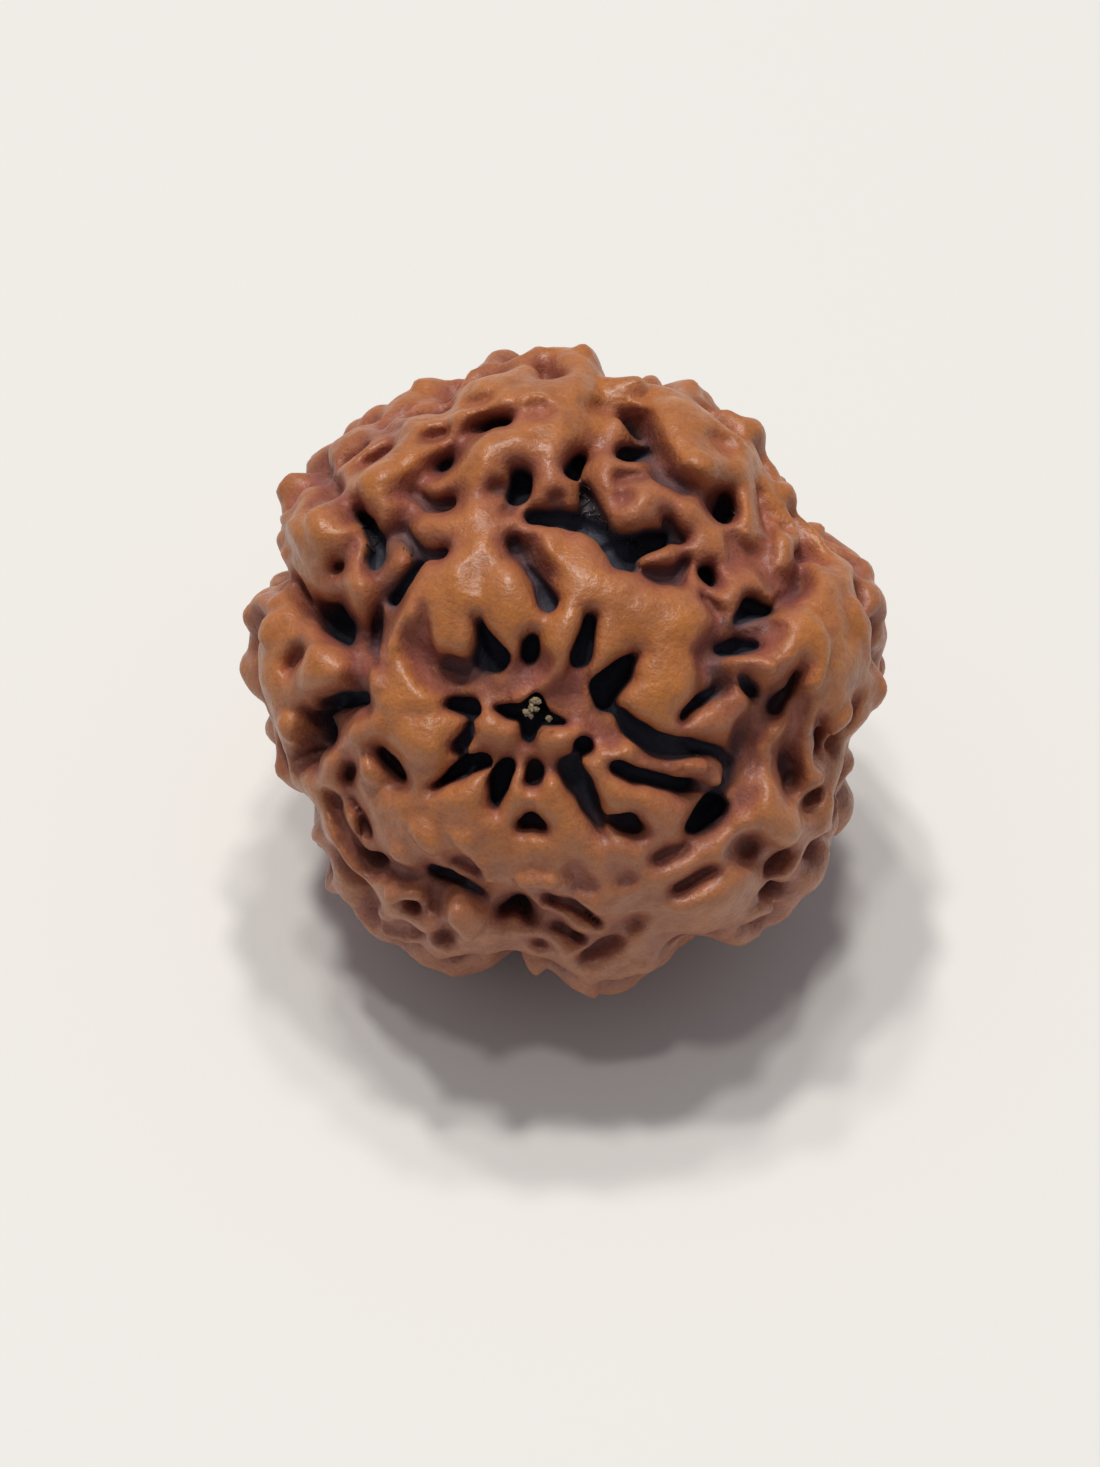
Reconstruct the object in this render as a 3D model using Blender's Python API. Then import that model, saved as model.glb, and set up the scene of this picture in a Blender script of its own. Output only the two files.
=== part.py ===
"""A rudraksha bead: the knobbly stone of a fruit, with a star-shaped mouth and a natural channel.

The bead is one grown piece. Its surface is a ball whose radius is worked out for every direction:
a lobed envelope, knobs that rise from it and pits that sink into it. It rests on a small flat spot.
Lengths here are millimetres of a bead that is READ_ACROSS wide. They turn into metres, at the
bead's real width, when the mesh is made. +Z is up.
"""
import math

import bmesh
import bpy
import numpy as np
from mathutils import Vector
from mathutils.bvhtree import BVHTree

# Driving sizes
ACROSS = 22.0
READ_ACROSS = 22.0
METRES = 0.001 * ACROSS / READ_ACROSS
BALL = 10.5
POLE_RADIUS = 9.9
REST_SPOT_RADIUS = 2.0
REST_BALL = 10.3
REST_CLEAR = 3.4
REST_FADE = (2.2, 4.6)
MIDDLE_HEIGHT = math.sqrt(REST_BALL ** 2 - REST_SPOT_RADIUS ** 2)
CHANNEL_HALF = 0.62
CHANNEL_WAIST = 0.55
CHANNEL_TURN = 8.0
MOUTH_SINK = 3.0

# The face that shows the star mouth: it looks up at this elevation, towards -Y,
# and was read from this far away
FACE_ELEVATION = math.radians(50.0)
READ_FROM = 150.0
TOWARDS = np.array((0.0, -math.cos(FACE_ELEVATION), math.sin(FACE_ELEVATION)))
ACROSS_FACE = np.array((1.0, 0.0, 0.0))
UP_FACE = np.array((0.0, math.sin(FACE_ELEVATION), math.cos(FACE_ELEVATION)))

# The middle of the star mouth on that face, which the stalk axis runs through
STAR_MIDDLE = (-1.35, -1.65)

# Mesh and relief
SQUARES_PER_SIDE = 110
TRIANGLES = 11200
NARROWEST_HALF = 0.2
WALL_OUT = 1.2
WALL_IN = 0.45
LIP_WIDTH = 0.5
LIP_DROP = 0.3
BOWL_WIDTH = 1.0
BOWL_SHARE = 0.28
BOWL_DEEPEST = 0.6
BOWLS_FROM_STAR = (4.0, 7.0)
DEEPEST = 3.4
SHARPNESS = 4.0
KNOBS_IN_OUTLINE = 0.25
UNDULATION = 0.22
UNDULATION_SIZE = 2.1
CUT_SNAP = 0.03
EASING_ROUNDS = 40
EASING_SHARE = 0.35
SHARP_FROM = math.radians(60.0)
SEED = 108

# The bead's outline round the face: degrees from the right, anticlockwise, and radius.
# Its low places are the clefts that run from pole to pole.
OUTLINE = (
    (0, 10.80), (10, 11.06), (20, 10.70), (28, 10.10), (36, 9.56), (45, 9.85), (55, 10.45), (65, 10.70),
    (73, 10.35), (79, 10.00), (86, 10.80), (102, 11.10), (112, 10.50), (120, 11.00), (130, 11.20),
    (142, 11.75), (147, 11.60), (154, 10.75), (160, 10.20), (166, 10.80), (178, 10.90), (188, 10.50),
    (199, 10.50), (208, 10.07), (216, 10.45), (224, 11.10), (236, 11.30), (248, 11.35), (255, 10.60),
    (261, 10.10), (268, 10.40), (276, 11.10), (288, 10.80), (296, 10.50), (304, 11.05), (315, 11.20),
    (330, 10.80), (340, 10.30), (348, 10.00), (355, 10.65),
)
CLEFTS = (35, 80, 112, 160, 208, 260, 297, 350)

# Pits and slots, hand-read on the face: (stops, depth), and each stop is
# (across, up, half width). A slot runs through its stops.
PITS_BY_THE_STAR = (
    (((-3.07, 1.75, .12), (-2.82, 1.05, .27), (-2.55, .45, .45)), 3.0),
    (((-4.3, .3, .28), (-3.75, 0, .36), (-3.1, .15, .3)), 1.7),
    (((-1.25, 1.05, .22), (-1.42, .45, .3)), 2.6),
    (((.86, 1.9, .2), (.72, 1.2, .24), (.4, .4, .34)), 2.6),
    (((2.3, .45, .18), (1.9, -.05, .42), (1.4, -.6, .55), (1.4, -1.15, .3)), 3.2),
    (((.3, -.1, .35), (.5, -.6, .3)), 1.2),
    (((1.8, -1.5, .2), (2.1, -2.2, .3), (3.1, -2.55, .4), (4.3, -2.7, .32), (5.3, -2.9, .24)), 2.4),
    (((-4.1, -1.25, .22), (-3.4, -1.45, .33)), 2.6),
    (((-3.45, -2.15, .2), (-3.88, -2.75, .26)), 2.4),
    (((-4.5, -4.0, .12), (-3.73, -3.58, .33), (-3.0, -3.18, .28)), 3.0),
    (((-2.15, -3.4, .28), (-2.35, -4.0, .36), (-2.5, -4.75, .18)), 3.0),
    (((-1.1, -3.5, .3), (-1.1, -3.95, .28)), 2.2),
    (((.55, -2.75, .34),), 2.6),
    (((.1, -3.4, .35), (.55, -4.1, .42), (.95, -5.0, .3), (1.2, -5.5, .14)), 2.3),
    (((1.75, -3.32, .22), (2.5, -3.75, .27), (3.3, -3.9, .28), (4.3, -4.15, .25)), 2.6),
    (((-1.5, -5.4, .3), (-1.0, -5.4, .32)), 2.0),
    (((1.6, -5.2, .26), (2.25, -5.4, .42)), 2.2),
    (((4.55, -5.35, .45), (5.2, -4.9, .6)), 3.0),
)
PITS_ON_THE_RIGHT = (
    (((5.08, -.85, .2), (4.6, -1.15, .26), (4.12, -1.6, .24)), 2.4),
    (((4.85, .6, .22), (5.0, -.1, .2)), 1.5),
    (((5.4, .8, .25), (6.0, .9, .36), (6.6, .8, .22)), 2.6),
    (((6.1, -.3, .3), (6.5, -.75, .3)), 2.2),
    (((6.15, -1.9, .3), (6.0, -2.5, .3)), 1.5),
    (((5.55, -3.5, .25), (5.7, -3.0, .25)), 1.3),
    (((5.9, 1.8, .2), (6.5, 2.2, .4), (7.2, 2.15, .2)), 2.4),
    (((7.35, 2.4, .22), (8.1, 2.9, .27)), 1.6),
    (((4.85, 2.5, .2), (5.2, 2.05, .24)), 1.8),
    (((5.0, 3.45, .3), (5.2, 3.1, .25)), 2.6),
    (((3.2, 3.5, .35), (3.9, 3.45, .4), (4.2, 3.9, .26)), 1.8),
    (((8.05, 4.0, .22), (8.8, 4.2, .24)), 1.5),
    (((7.7, -.35, .2), (7.3, -1.2, .33)), 2.0),
    (((8.75, -1.9, .3), (8.7, -2.5, .25)), 1.5),
    (((7.6, -3.0, .3), (7.75, -3.7, .3)), 1.8),
    (((8.4, -4.4, .3),), 1.3),
    (((6.25, -6.0, .28),), 1.4),
    (((7.1, -6.7, .35), (7.5, -6.2, .3)), 1.5),
    (((9.3, -2.35, .25),), 1.0),
)
PITS_AT_THE_TOP = (
    (((5.5, 6.15, .22), (5.45, 5.55, .38)), 2.4),
    (((3.5, 5.3, .22), (3.75, 4.85, .3), (4.05, 4.75, .22)), 2.0),
    (((3.2, 6.7, .27), (3.9, 6.35, .24)), 1.8),
    (((6.75, 6.4, .12), (6.9, 5.2, .16), (7.0, 4.1, .14)), 1.0),
    (((2.2, 8.85, .28), (2.5, 8.35, .28)), 2.4),
    (((2.05, 7.55, .4), (2.7, 7.6, .24)), 2.4),
    (((1.75, 6.6, .22), (2.55, 6.7, .22)), 1.4),
    (((.42, 7.4, .25), (.08, 6.88, .3)), 2.6),
    (((.45, 6.5, .2), (.75, 5.9, .3), (1.0, 5.2, .4)), 2.2),
    (((-1.7, 6.7, .35), (-1.75, 6.1, .42)), 3.0),
    (((-2.45, 6.2, .3), (-2.0, 5.6, .22)), 1.6),
    (((-1.25, 5.35, .3), (-.4, 5.35, .38), (.4, 5.25, .4), (1.1, 4.95, .35), (1.6, 4.5, .35)), 2.8),
    (((1.6, 4.4, .35), (2.4, 4.4, .45), (3.2, 4.7, .33), (3.5, 4.9, .2)), 3.4),
    (((1.8, 3.9, .3), (2.3, 3.75, .27)), 2.8),
    (((-2.6, 8.45, .28), (-2.15, 8.5, .3)), 2.4),
    (((-1.05, 8.65, .45),), 0.8),
    (((-4.31, 7.16, .33),), 2.2),
    (((-4.75, 7.95, .2), (-4.3, 8.05, .22)), 1.0),
    (((-1.93, 4.45, .26),), 2.0),
    (((-1.6, 3.6, .2), (-1.15, 3.1, .24), (-.67, 2.5, .33)), 2.3),
)
PITS_ON_THE_LEFT = (
    (((-6.8, 7.05, .2), (-6.25, 7.4, .24)), 1.4),
    (((-5.4, 6.1, .22), (-4.8, 5.75, .3), (-4.2, 5.8, .3)), 1.8),
    (((-8.0, 6.9, .2), (-7.95, 5.9, .24)), 1.4),
    (((-7.2, 5.35, .2), (-6.9, 5.0, .25), (-6.5, 4.35, .32), (-6.65, 3.8, .38)), 2.6),
    (((-5.6, 4.5, .28), (-5.35, 4.0, .3), (-4.4, 4.2, .26)), 2.2),
    (((-5.2, 3.7, .24), (-5.6, 3.1, .28), (-6.05, 2.45, .26)), 2.8),
    (((-7.8, 3.55, .28),), 1.6),
    (((-8.8, 2.15, .25), (-8.2, 1.8, .5), (-7.8, 1.3, .42), (-7.7, .9, .24)), 3.0),
    (((-6.55, 2.35, .18), (-6.75, 1.6, .27), (-6.8, .9, .22), (-6.45, .1, .14)), 2.0),
    (((-4.95, 1.8, .16), (-4.85, 1.15, .22), (-4.75, .6, .2)), 1.3),
    (((-8.4, -1.3, .27), (-7.7, -1.1, .33), (-7.1, -1.0, .24)), 2.6),
    (((-8.9, -1.6, .27), (-8.4, -2.1, .5), (-8.7, -2.6, .3)), 2.8),
    (((-9.35, -3.2, .25), (-8.9, -3.1, .25)), 1.8),
    (((-7.5, -3.4, .24), (-7.55, -3.85, .22)), 1.6),
    (((-6.45, -2.9, .2), (-6.1, -3.3, .28), (-5.85, -3.75, .22)), 2.0),
    (((-9.5, 3.0, .15), (-9.1, 2.2, .2)), 1.3),
    (((-9.3, .3, .22),), 1.2),
)
PITS_AT_THE_BOTTOM = (
    (((-7.25, -4.9, .18), (-6.95, -5.5, .26)), 1.4),
    (((-6.8, -6.6, .38), (-6.4, -6.55, .28)), 2.4),
    (((-6.5, -7.8, .3), (-6.4, -8.3, .25)), 1.2),
    (((-5.9, -8.8, .2), (-5.45, -9.1, .22)), 1.0),
    (((-5.6, -7.1, .2), (-5.0, -7.2, .24)), 1.3),
    (((-3.75, -6.6, .25), (-3.3, -6.8, .28)), 1.5),
    (((-4.5, -7.0, .3), (-3.8, -7.3, .33), (-3.0, -7.8, .28)), 2.2),
    (((-5.15, -8.1, .27),), 1.4),
    (((-4.0, -8.75, .28), (-4.1, -9.1, .3)), 1.2),
    (((-2.2, -8.3, .25), (-1.6, -8.1, .33), (-1.35, -8.6, .2)), 2.2),
    (((-.7, -7.8, .24), (.1, -8.05, .28), (.9, -8.5, .2)), 1.6),
    (((-.3, -8.8, .24), (.4, -9.15, .26)), 1.5),
    (((.7, -9.7, .26), (1.5, -9.4, .3)), 1.2),
    (((-.95, -9.35, .2),), 1.0),
    (((1.7, -8.65, .2), (2.2, -8.65, .2)), 0.8),
    (((.2, -6.9, .2), (.6, -7.3, .22)), 0.9),
    (((4.0, -7.3, .28), (4.9, -6.85, .26)), 1.4),
    (((3.2, -6.35, .26), (3.95, -6.1, .24)), 1.3),
)
PITS = PITS_BY_THE_STAR + PITS_ON_THE_RIGHT + PITS_AT_THE_TOP + PITS_ON_THE_LEFT + PITS_AT_THE_BOTTOM

# The star mouth's four arms, hand-read the same way
STAR_ARMS = (
    ((-2.55, -1.4, .16), (-1.95, -1.5, .26), (-1.4, -1.7, .26)),
    ((-1.06, -.95, .16), (-1.3, -1.7, .28)),
    ((-.15, -1.88, .14), (-.65, -1.75, .22), (-1.3, -1.7, .24)),
    ((-1.44, -2.55, .16), (-1.38, -1.8, .26)),
)

# Knobs that stand up from the envelope: (stops, height)
KNOBS = (
    (((7.9, 1.6, .9), (7.7, .4, .9)), 0.45),
    (((-8.5, .1, .95),), 0.5),
    (((-7.0, .5, .4), (-6.85, -.5, .42)), 0.3),
    (((-10.1, 2.4, .9),), 0.45),
    (((-9.9, 1.3, .6),), 0.35),
    (((-6.95, -3.6, .6),), 0.35),
    (((-5.2, -2.6, .9),), 0.25),
    (((2.6, 5.7, .8),), 0.3),
    (((7.3, -4.9, 1.0),), 0.4),
    (((8.8, -5.1, .8),), 0.35),
    (((8.3, -3.3, .9),), 0.3),
    (((-3.4, -8.3, .9),), 0.4),
    (((-5.4, -7.5, .7),), 0.3),
    (((-7.3, -5.6, .8),), 0.3),
    (((5.7, -4.3, .3),), 0.2),
    (((5.6, -.2, .3), (6.3, .25, .4)), 0.3),
    (((3.9, -3.3, .3), (4.8, -3.45, .42)), 0.3),
    (((-1.0, 8.65, .95),), 0.35),
    (((-6.3, 6.2, .9),), 0.3),
    (((4.6, 6.9, .9),), 0.3),
    (((7.9, 4.9, .8),), 0.3),
)

# The side that the face doesn't show: seeded pits in chains along the clefts and spread between them
HIDDEN_FROM = math.radians(72.0)
CLEFT_START = (76.0, 84.0)
CLEFT_END = math.radians(166.0)
CLEFT_STEP = math.radians(15.5)
CLEFT_STEP_SPREAD = (0.85, 1.15)
CLEFT_PIT_LENGTH = (0.9, 1.7)
CLEFT_PIT_HALF = (0.26, 0.42)
CLEFT_PIT_DEPTH = (1.6, 2.9)
HIDDEN_PITS = 170
HIDDEN_GAP = 1.4
HIDDEN_PIT_LENGTH = (0.2, 1.3)
HIDDEN_PIT_HALF = (0.26, 0.48)
HIDDEN_PIT_DEPTH = (1.1, 2.8)
SLOT_TAPER = 0.8
HIDDEN_KNOBS = 110
KNOB_GAP = 1.5
KNOB_RADIUS = (0.7, 1.1)
KNOB_HEIGHT = (0.25, 0.5)
KNOB_MARGIN = 0.2
TRIES = 60

COLOUR = (0.352, 0.142, 0.062, 1.0)
ROUGHNESS = 0.45


def unit(vectors):
    """Vectors of length one."""
    return vectors / np.linalg.norm(vectors, axis=-1, keepdims=True)


def on_ball(across, up):
    """The point of the ball that shows at this place of the face."""
    eye = TOWARDS * READ_FROM
    ray = unit(ACROSS_FACE * across + UP_FACE * up - eye)
    nearest = -(eye @ ray)
    inside = nearest * nearest - (eye @ eye - BALL * BALL)
    point = eye + ray * (nearest - math.sqrt(max(inside, 0.0)))
    return unit(point) * BALL


STALK = unit(on_ball(*STAR_MIDDLE))


def ease(values):
    """A smooth step from 0 to 1."""
    kept = np.clip(values, 0.0, 1.0)
    return kept * kept * (3.0 - 2.0 * kept)


def outline_radius(angles):
    """The outline's radius at angles in radians, eased from one read point to the next."""
    degrees = np.degrees(angles) % 360.0
    stops = np.array(OUTLINE + ((360.0, OUTLINE[0][1]),))
    spot = np.clip(np.searchsorted(stops[:, 0], degrees, side="right") - 1, 0, len(stops) - 2)
    share = ease((degrees - stops[spot, 0]) / (stops[spot + 1, 0] - stops[spot, 0]))
    return stops[spot, 1] + share * (stops[spot + 1, 1] - stops[spot, 1])


def envelope(directions):
    """The lobed ball without knobs and pits: the outline at the girth, round at both poles."""
    forward = directions @ TOWARDS / (STALK @ TOWARDS)
    across = directions @ ACROSS_FACE - (STALK @ ACROSS_FACE) * forward
    up = directions @ UP_FACE - (STALK @ UP_FACE) * forward
    girth = np.clip(across * across + up * up, 0.0, 1.0)
    rim = outline_radius(np.arctan2(up, across)) - KNOBS_IN_OUTLINE
    return POLE_RADIUS + (rim - POLE_RADIUS) * girth


def lattice_value(cells):
    """A repeatable value from -1 to 1 for each whole-numbered place."""
    mixed = cells[..., 0] * 127.1 + cells[..., 1] * 311.7 + cells[..., 2] * 74.7 + SEED
    return 2.0 * np.modf(np.abs(np.sin(mixed) * 43758.5453))[0] - 1.0


def undulation(points, size):
    """Smooth seeded swellings of about this size, from -1 to 1."""
    scaled = points / size
    base = np.floor(scaled)
    share = ease(scaled - base)
    total = np.zeros(len(points))
    for corner in range(8):
        offset = np.array((corner & 1, corner >> 1 & 1, corner >> 2 & 1), dtype=float)
        weight = np.prod(np.where(offset == 1.0, share, 1.0 - share), axis=1)
        total += weight * lattice_value(base + offset)
    return total


def chain_distance(points, stops, narrowest):
    """Distance from a chain of stops in two measures: shares of its half width, and from its edge."""
    shares = np.full(len(points), np.inf)
    gaps = np.full(len(points), np.inf)
    for first, second in zip(stops, stops[1:] or stops):
        start, run = first[0], second[0] - first[0]
        along = np.clip((points - start) @ run / max(run @ run, 1e-9), 0.0, 1.0)
        away = np.linalg.norm(points - start - along[:, None] * run, axis=1)
        half = np.maximum(first[1] + along * (second[1] - first[1]), narrowest)
        shares = np.minimum(shares, away / half)
        gaps = np.minimum(gaps, away - half)
    return shares, gaps


def placed(chain):
    """A hand-read chain of stops as places on the ball with their half widths."""
    return [(on_ball(across, up), half) for across, up, half in chain]


def near(points, stops, reach):
    """Which points lie close enough to a chain to be touched by it."""
    middle = sum(place for place, _ in stops) / len(stops)
    spread = max(np.linalg.norm(place - middle) + half for place, half in stops)
    return np.linalg.norm(points - middle, axis=1) < spread + reach


def slot_between(direction, heading, length, half):
    """A short slot of the ball: two stops on either side of a direction, along a heading."""
    sideways = unit(heading - direction * (heading @ direction))
    ends = [unit(direction + sideways * length * side / BALL) * BALL for side in (-0.5, 0.5)]
    return [(ends[0], half * SLOT_TAPER), (ends[1], half)]


def allowed(direction):
    """True on the hidden side, clear of the rest spot."""
    hidden = direction @ TOWARDS < math.cos(HIDDEN_FROM)
    resting = np.linalg.norm(direction * BALL - np.array((0.0, 0.0, -BALL))) < REST_CLEAR
    return bool(hidden and not resting)


def free_direction(draw, taken, gap):
    """A seeded direction on the hidden side that keeps a gap to the places taken, or None."""
    for _ in range(TRIES):
        direction = unit(draw.normal(size=3))
        if allowed(direction) and np.linalg.norm(direction * BALL - np.array(taken), axis=1).min() > gap:
            return direction
    return None


def cleft_pits(draw):
    """Seeded slots in chains along the clefts of the hidden side: [(stops, depth)]."""
    pits = []
    for cleft in CLEFTS:
        turn = math.radians(cleft)
        rim = ACROSS_FACE * math.cos(turn) + UP_FACE * math.sin(turn)
        angle = math.radians(draw.uniform(*CLEFT_START))
        while angle < CLEFT_END:
            direction = unit(rim * math.sin(angle) + STALK * math.cos(angle))
            heading = rim * math.cos(angle) - STALK * math.sin(angle)
            length, half = draw.uniform(*CLEFT_PIT_LENGTH), draw.uniform(*CLEFT_PIT_HALF)
            slot = slot_between(direction, heading, length, half)
            depth = draw.uniform(*CLEFT_PIT_DEPTH)
            if allowed(direction):
                pits.append((slot, depth))
            angle += CLEFT_STEP * draw.uniform(*CLEFT_STEP_SPREAD)
    return pits


def hidden_pits():
    """Seeded pits for the side that the face doesn't show: [(stops, depth)]."""
    draw = np.random.default_rng(SEED)
    pits = cleft_pits(draw)
    taken = [place for stops, _ in pits for place, _ in stops]
    for _ in range(HIDDEN_PITS):
        direction = free_direction(draw, taken, HIDDEN_GAP)
        heading = draw.normal(size=3)
        length, half = draw.uniform(*HIDDEN_PIT_LENGTH), draw.uniform(*HIDDEN_PIT_HALF)
        depth = draw.uniform(*HIDDEN_PIT_DEPTH)
        if direction is not None:
            slot = slot_between(direction, heading, length, half)
            pits.append((slot, depth))
            taken += [place for place, _ in slot]
    return pits


def hidden_knobs():
    """Seeded knobs for the same side: [(stops, height)]."""
    draw = np.random.default_rng(SEED + 1)
    knobs = []
    taken = [np.zeros(3)]
    for _ in range(HIDDEN_KNOBS):
        direction = free_direction(draw, taken, KNOB_GAP)
        radius, height = draw.uniform(*KNOB_RADIUS), draw.uniform(*KNOB_HEIGHT)
        if direction is not None:
            knobs.append(([(direction * BALL, radius)], height))
            taken.append(direction * BALL)
    return knobs


def bowl_strength(points):
    """How wide-mouthed the pits are: plain slots round the star, bowls further out."""
    away = np.linalg.norm(points - STALK * BALL, axis=1)
    return ease((away - BOWLS_FROM_STAR[0]) / (BOWLS_FROM_STAR[1] - BOWLS_FROM_STAR[0]))


def pit_depths(points, pits):
    """How far every pit together sinks each point: a wide bowl, a rounded lip and a steep wall."""
    total = np.zeros(len(points))
    strength = bowl_strength(points)
    for stops, depth in pits:
        touched = np.flatnonzero(near(points, stops, BOWL_WIDTH))
        shares, gaps = chain_distance(points[touched], stops, NARROWEST_HALF)
        bowl = min(BOWL_SHARE * depth, BOWL_DEEPEST) * strength[touched]
        lip = 1.0 - np.clip(gaps / LIP_WIDTH, 0.0, 1.0)
        sink = bowl * ease(1.0 - gaps / BOWL_WIDTH) + LIP_DROP * (1.0 - np.sqrt(1.0 - lip * lip))
        sink = sink + (depth - bowl - LIP_DROP) * ease((WALL_OUT - shares) / (WALL_OUT - WALL_IN))
        total[touched] += np.maximum(sink, 0.0) ** SHARPNESS
    return np.minimum(total ** (1.0 / SHARPNESS), DEEPEST)


def knob_heights(points, knobs):
    """How far the knobs raise each point."""
    total = np.zeros(len(points))
    for stops, height in knobs:
        touched = np.flatnonzero(near(points, stops, KNOB_MARGIN))
        shares, _ = chain_distance(points[touched], stops, 0.0)
        rise = height * np.sqrt(np.clip(1.0 - shares * shares, 0.0, 1.0))
        total[touched] += rise ** SHARPNESS
    return total ** (1.0 / SHARPNESS)


def away_from_rest(points):
    """0 round the rest spot, where the bead is a plain ball, and 1 everywhere else."""
    away = np.linalg.norm(points + (0.0, 0.0, BALL), axis=1)
    return ease((away - REST_FADE[0]) / (REST_FADE[1] - REST_FADE[0]))


def bead_radius(directions):
    """The bead's radius in every direction."""
    points = directions * BALL
    relief_share = away_from_rest(points)
    knobs = [(placed(chain), height) for chain, height in KNOBS] + hidden_knobs()
    raised = knob_heights(points, knobs) + UNDULATION * undulation(points, UNDULATION_SIZE)
    pits = [(placed(chain), depth) for chain, depth in PITS] + hidden_pits()
    pits += [(placed(arm), MOUTH_SINK) for arm in STAR_ARMS]
    relief = envelope(directions) + raised - pit_depths(points, pits)
    return REST_BALL + (relief - REST_BALL) * relief_share


def ball_grid():
    """Directions and four-cornered faces of a cube blown up to a ball, evenly divided."""
    count = SQUARES_PER_SIDE
    steps = np.tan(np.linspace(-math.pi / 4.0, math.pi / 4.0, count + 1))
    number = {}
    directions = []
    faces = []

    def corner(side, row, column):
        across, up = steps[column], steps[row]
        place = ((1, across, up), (-1, -across, up), (-across, 1, up),
                 (across, -1, up), (up, across, -1), (-up, across, 1))[side]
        key = tuple(round(value, 6) for value in place)
        if key not in number:
            number[key] = len(directions)
            directions.append(place)
        return number[key]

    for side in range(6):
        for row in range(count):
            for column in range(count):
                faces.append((corner(side, row, column), corner(side, row, column + 1),
                              corner(side, row + 1, column + 1), corner(side, row + 1, column)))
    return unit(np.array(directions, dtype=float)), faces


def channel_cutter():
    """A four-armed star rod along the stalk axis, which the natural channel is cut with."""
    length = 2.4 * BALL
    side = unit(np.cross(STALK, UP_FACE))
    other = np.cross(STALK, side)
    ring = []
    for step in range(8):
        turn = math.radians(45.0 * step + CHANNEL_TURN)
        reach = CHANNEL_HALF * (1.0 if step % 2 == 0 else CHANNEL_WAIST)
        ring.append(side * math.cos(turn) * reach + other * math.sin(turn) * reach)
    points = [corner + STALK * length * end for end in (-0.5, 0.5) for corner in ring]
    faces = [tuple(reversed(range(8))), tuple(range(8, 16))]
    faces += [(step, (step + 1) % 8, (step + 1) % 8 + 8, step + 8) for step in range(8)]
    mesh = bpy.data.meshes.new("channel_cutter")
    mesh.from_pydata(points, [], faces)
    cutter = bpy.data.objects.new("channel_cutter", mesh)
    bpy.context.collection.objects.link(cutter)
    cutter.hide_render = True
    cutter.display_type = "WIRE"
    return cutter


def pierced_and_thinned(fine_mesh):
    """The fine mesh with its channel cut, and then with triangles kept where it bends most."""
    fine = bpy.data.objects.new("fine", fine_mesh)
    bpy.context.collection.objects.link(fine)
    cutter = channel_cutter()
    channel = fine.modifiers.new("channel", "BOOLEAN")
    channel.operation = "DIFFERENCE"
    channel.solver = "EXACT"
    channel.object = cutter
    thin = fine.modifiers.new("thin", "DECIMATE")
    thin.ratio = TRIANGLES / (2.0 * len(fine_mesh.polygons))
    graph = bpy.context.evaluated_depsgraph_get()
    mesh = bpy.data.meshes.new_from_object(fine.evaluated_get(graph))
    bpy.data.objects.remove(fine, do_unlink=True)
    bpy.data.objects.remove(cutter, do_unlink=True)
    return mesh


def crossing_corners(shape):
    """The corners of triangles that cross another one that they don't touch."""
    tree = BVHTree.FromBMesh(shape)
    shape.faces.ensure_lookup_table()
    corners = set()
    for first, second in tree.overlap(tree):
        one, other = set(shape.faces[first].verts), set(shape.faces[second].verts)
        if first < second and not one & other:
            corners |= one | other
    return sorted(corners, key=lambda corner: corner.index)


def ease_crossings(shape):
    """Narrow slots opened a little wherever thinning has made their two walls cross."""
    for _ in range(EASING_ROUNDS):
        corners = crossing_corners(shape)
        if not corners:
            return
        wanted = []
        for corner in corners:
            around = [edge.other_vert(corner).co for edge in corner.link_edges]
            wanted.append(sum(around, Vector()) / len(around))
        for corner, middle in zip(corners, wanted):
            corner.co = corner.co.lerp(middle, EASING_SHARE)


def cut_spot(mesh):
    """The rest spot: the bead cut off level, closed with one flat face, and stood on z = 0."""
    shape = bmesh.new()
    shape.from_mesh(mesh)
    ease_crossings(shape)
    everything = shape.verts[:] + shape.edges[:] + shape.faces[:]
    cut = bmesh.ops.bisect_plane(shape, geom=everything, plane_co=(0.0, 0.0, -MIDDLE_HEIGHT),
                                 plane_no=(0.0, 0.0, -1.0), clear_outer=True, dist=CUT_SNAP)
    rim = [part for part in cut["geom_cut"] if isinstance(part, bmesh.types.BMEdge)]
    spot = bmesh.ops.contextual_create(shape, geom=rim)["faces"]
    bmesh.ops.recalc_face_normals(shape, faces=shape.faces[:])
    for corner in shape.verts:
        corner.co.z += MIDDLE_HEIGHT
    for corner in spot[0].verts:
        corner.co.z = 0.0
    bmesh.ops.scale(shape, vec=(METRES, METRES, METRES), verts=shape.verts[:])
    shape.to_mesh(mesh)
    shape.free()


def make_bead(material):
    """The bead's solid: the ball with its relief and channel, flat where it rests."""
    directions, faces = ball_grid()
    radii = bead_radius(directions)
    fine = bpy.data.meshes.new("fine")
    fine.from_pydata((directions * radii[:, None]).tolist(), [], faces)
    mesh = pierced_and_thinned(fine)
    mesh.name = "bead"
    cut_spot(mesh)
    mesh.materials.append(material)
    mesh.shade_smooth()
    mesh.set_sharp_from_angle(angle=SHARP_FROM)
    bead = bpy.data.objects.new("bead", mesh)
    bpy.context.collection.objects.link(bead)


def stone_material():
    """Dry, slightly waxy brown stone of the fruit."""
    material = bpy.data.materials.new("bead_stone")
    material.use_nodes = True
    shader = material.node_tree.nodes["Principled BSDF"]
    shader.inputs["Base Color"].default_value = COLOUR
    shader.inputs["Roughness"].default_value = ROUGHNESS
    shader.inputs["Metallic"].default_value = 0.0
    material.diffuse_color = COLOUR
    return material


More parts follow.
